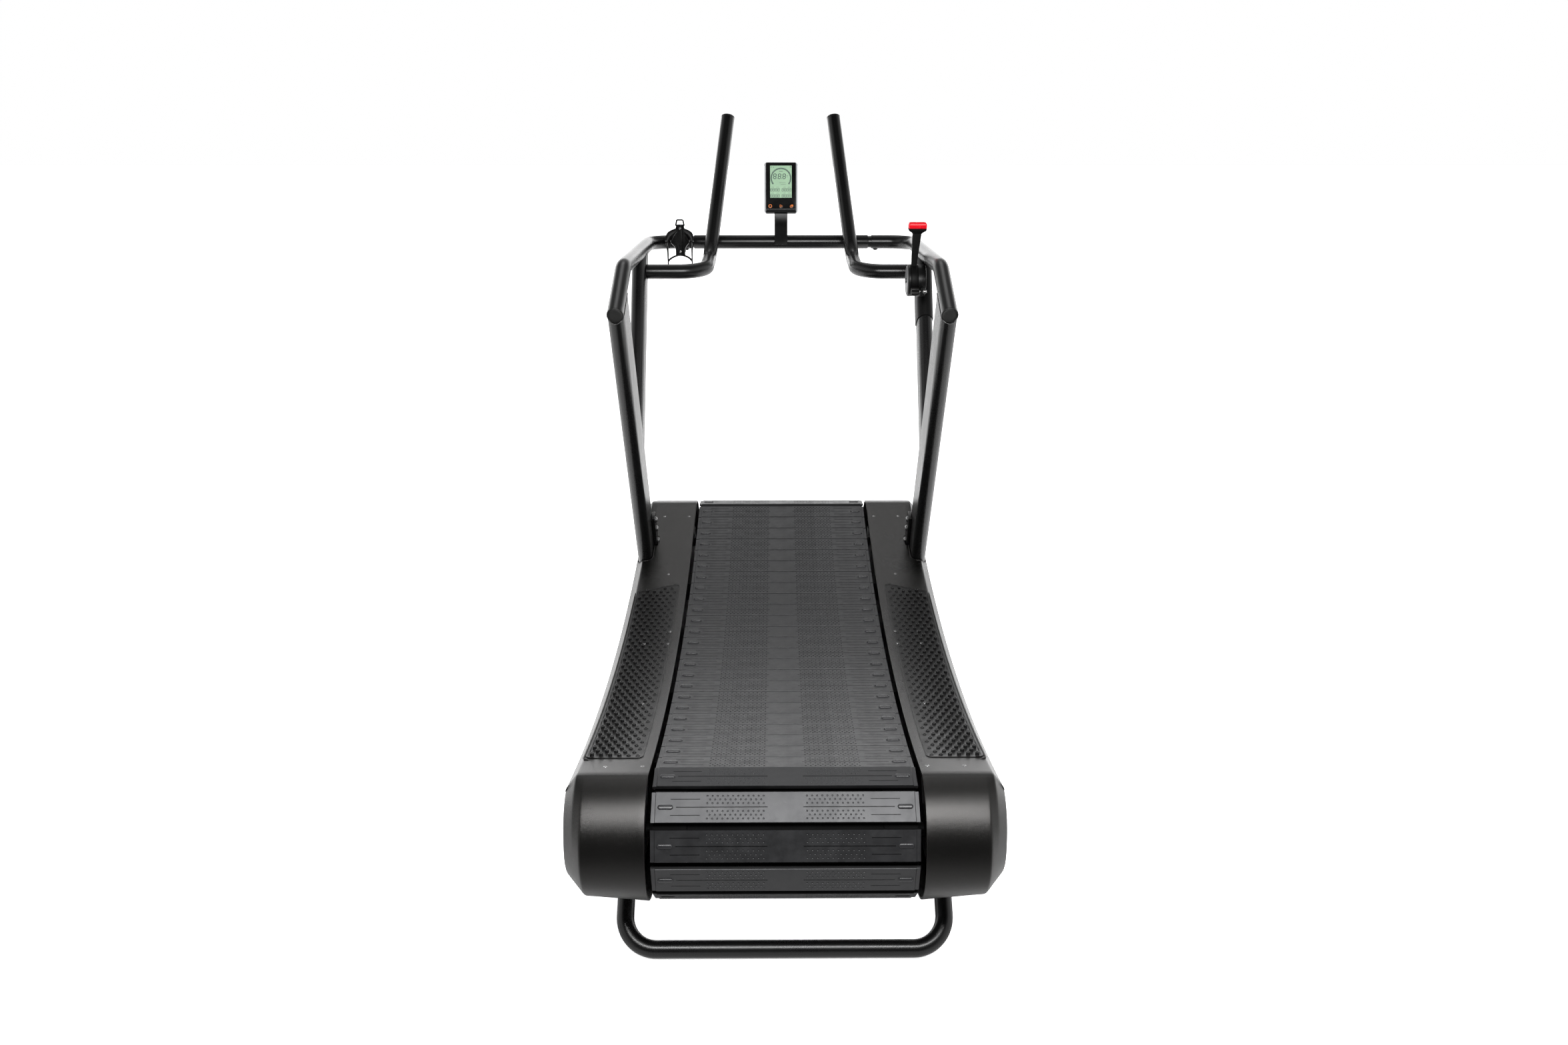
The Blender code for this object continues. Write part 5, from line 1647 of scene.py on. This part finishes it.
def lever_loft(name, rows, steps=5, mat=None, sharp=35.0):
    loops = []
    for height, x0, x1, half, corner in rows:
        centre = np.array(HUB) + LEVER_UP * height
        loop = []
        for x, side in round_box(x0, -half, x1, half, corner, steps):
            y, z = centre + LEVER_SIDE * side
            loop.append((x, float(y), float(z)))
        loops.append(loop)
    return loft(name, loops, mat, sharp=sharp)


def resistance_lever():
    lever = turned("lever_arm", LEVER_EYE, HUB, steps=96)
    combine(lever, [lever_loft("stem", LEVER_STEM), lever_loft("skirt", LEVER_SKIRT)], "UNION")
    combine(lever, [turned("cut", [(0.30, 0.0123), (0.37, 0.0123)], HUB)])
    lever.data.materials.clear()
    lever.data.materials.append(MATTE)
    put(lever, "black_plastic", "resistance_lever", body="resistance_lever")
    put(lever_loft("lever_cap_red", LEVER_CAP, 8, RED, 50), "red_plastic", "lever_cap",
        body="resistance_lever")


def lever_shroud():
    """Sleeve round the right post, with an arm to the hub."""
    low = (1.036 - POST_FOOT[1]) / POST_DIR[1]
    high = (1.163 - POST_FOOT[1]) / POST_DIR[1]
    shroud = coped("shroud_sleeve", UPRIGHT_X, POST_FOOT, POST_DIR, (0.0860, 0.0420),
                   lambda offset, foot: low + 0.005 * (1 - (offset / 0.0210) ** 2),
                   lambda offset, foot: high, MATTE)
    arm = [(1.290, 1.118), (1.375, 1.105), (1.400, 1.150), (1.345, 1.176), (1.290, 1.176)]
    combine(shroud, [prism("arm", arm, 0.3460, 0.3640)], "UNION")
    combine(shroud, [
        coped("cut", UPRIGHT_X, POST_FOOT, POST_DIR, (0.0806, 0.0384),
              lambda offset, foot: low - 0.08, lambda offset, foot: high + 0.08),
        turned("cut", [(0.30, 0.0405), (0.40, 0.0405)], HUB),
        turned("cut", [(0.30, 0.0196), (0.3750, 0.0196)], HORN_ROOT, steps=48),
    ])
    put(shroud, "black_plastic", "lever_shroud")


lever_hub()
cable_adjuster()
resistance_lever()
lever_shroud()

# ================================================================ CAD nodes that stay
CHASSIS = smooth_plastic("chassis_coat", 0.0024, 0.0036, rough=(0.50, 0.60), fine=900.0,
                         gloss=0.22)
# Part of the node's name, material; the rest is powder coated.
KEEP = {
    "side_frame": CHASSIS, "cross_member": CHASSIS, "bearing": DARK_STEEL, "curve_rail": BLACK,
    "drum": CHASSIS, "brake_disc": ALU, "magnet_bracket": DARK_STEEL,
}
for name, obj in frame["nodes"].items():
    mat = next((kept for key, kept in KEEP.items() if key in name), POWDER)
    if obj.data.materials:
        for i in range(len(obj.data.materials)):
            obj.data.materials[i] = mat
    else:
        obj.data.materials.append(mat)
    if not obj.hide_render:
        bevelled(obj, 0.0006, 2)

# ================================================================ stage
FLOOR_SEEN = 3.0  # level of the floor as the camera sees it
FLOOR_GLOW, FLOOR_BACK = 3.0, 0.06  # levels the machine sees, ahead and behind
FLOOR_FADE = (-1.90, 0.50)  # y over which it rises from back to glow


def pale_floor():
    mat = Material("pale_floor")
    seen = mat.add("ShaderNodeLightPath").outputs["Is Camera Ray"]
    spot = mat.add("ShaderNodeSeparateXYZ", Vector=mat.coord).outputs
    rise = mat.math("POWER", mat.remap(spot[1], FLOOR_FADE), 1.8)
    level = mat.math("ADD", mat.math("MULTIPLY", rise, FLOOR_GLOW - FLOOR_BACK), FLOOR_BACK)
    unseen = mat.math("MULTIPLY", mat.math("SUBTRACT", 1.0, seen), level)
    level = mat.math("ADD", unseen, mat.math("MULTIPLY", seen, FLOOR_SEEN))
    grey = mat.add("ShaderNodeCombineColor", Red=level, Green=level, Blue=level)
    return mat.out(
        Base_Color=grey.outputs[0],
        Roughness=0.9,
        Specular_IOR_Level=0.0,
        Emission_Color=(1.0, 1.0, 1.0, 1.0),
        Emission_Strength=mat.math("MULTIPLY", seen, 0.62),
    )


floor_mesh = bpy.data.meshes.new("floor")
floor_mesh.from_pydata([(x, y, 0) for x, y in box(-60, -60, 60, 60)], [], [(0, 1, 2, 3)])
floor = place("floor", floor_mesh)
floor.location = (0, 0, -0.0004)
floor_mesh.materials.append(pale_floor())


def studio():
    """A studio bright ahead and to the sides, dark behind the camera, white to the camera."""
    base = 0.03  # fill from everywhere
    world = bpy.data.worlds.new("studio")
    bpy.context.scene.world = world
    sky = Graph(world)
    coord = sky.add("ShaderNodeTexCoord").outputs["Generated"]
    x, y, z = sky.add("ShaderNodeSeparateXYZ", Vector=coord).outputs
    elevation = sky.math("MULTIPLY", sky.math("ARCSINE", z), 180 / math.pi)
    side = sky.math("ABSOLUTE", x)

    def fade(value, span, to=(0.0, 1.0)):
        return sky.remap(value, span, to, "SMOOTHSTEP")

    def lobe(direction, inner, outer):
        """1 within inner degrees of a direction, fading to 0 at outer degrees."""
        aim = Vector(direction).normalized()
        flat = sky.math("ADD", sky.math("MULTIPLY", x, aim.x), sky.math("MULTIPLY", y, aim.y))
        dot = sky.math("ADD", flat, sky.math("MULTIPLY", z, aim.z))
        return fade(dot, (math.cos(math.radians(outer)), math.cos(math.radians(inner))))

    # Walls: levels fall as the elevation in degrees rises.
    ahead = sky.math("MULTIPLY", fade(y, (0.05, 0.55)),
                     fade(elevation, span=(6.0, 27.0), to=(2.60, 0.17)))
    sides = sky.math("MULTIPLY", fade(side, (0.45, 0.85)),
                     fade(elevation, span=(20.0, 65.0), to=(0.82, 0.25)))
    light = sky.math("ADD", base, sky.math("MAXIMUM", ahead, sides))
    # Soft lights: direction, inner and outer half angle, level.
    for direction, inner, outer, level in (((0, 0.62, 0.79), 3.0, 15.0, 1.7),
                                           ((0, 0.10, 0.99), 10.0, 40.0, 0.28)):
        glow = sky.math("MULTIPLY", lobe(direction, inner, outer), level)
        light = sky.math("ADD", light, glow)
    seen = sky.add("ShaderNodeLightPath").outputs["Is Camera Ray"]
    unseen = sky.math("MULTIPLY", light, sky.math("SUBTRACT", 1.0, seen))
    back = sky.tree.nodes["Background"]
    sky.set(back.inputs[1], sky.math("ADD", unseen, sky.math("MULTIPLY", 1.0, seen)))
    back.inputs[0].default_value = (1, 1, 1, 1)


studio()

# The big soft panel above and behind the machine.
PANEL_PLACE, PANEL_AIM = Vector((0.12, -1.95, 1.98)), Vector((0.0, -0.72, 0.30))
PANEL_LEVEL = 18.0
panel = bpy.data.lights.new("soft_panel", "AREA")
panel.shape = "RECTANGLE"
panel.size, panel.size_y = 2.0, 0.56
panel.energy = PANEL_LEVEL * math.pi * 2.0 * 0.56
panel_object = place("soft_panel", panel)
panel_object.location = PANEL_PLACE
panel_object.rotation_euler = (PANEL_AIM - PANEL_PLACE).to_track_quat("-Z", "Y").to_euler()
panel_object.visible_camera = False

camera = place("camera", bpy.data.cameras.new("camera"))
camera.location = (-0.0158, -2.8236, 1.508)
camera.rotation_euler = (math.radians(72.5), 0, math.radians(-0.39))
camera.data.lens = 28.32
camera.data.sensor_width = 36
camera.data.clip_end = 200
bpy.context.scene.camera = camera
bpy.context.scene.view_settings.view_transform = "Standard"
bpy.context.scene.view_settings.look = "None"

bpy.context.view_layer.update()
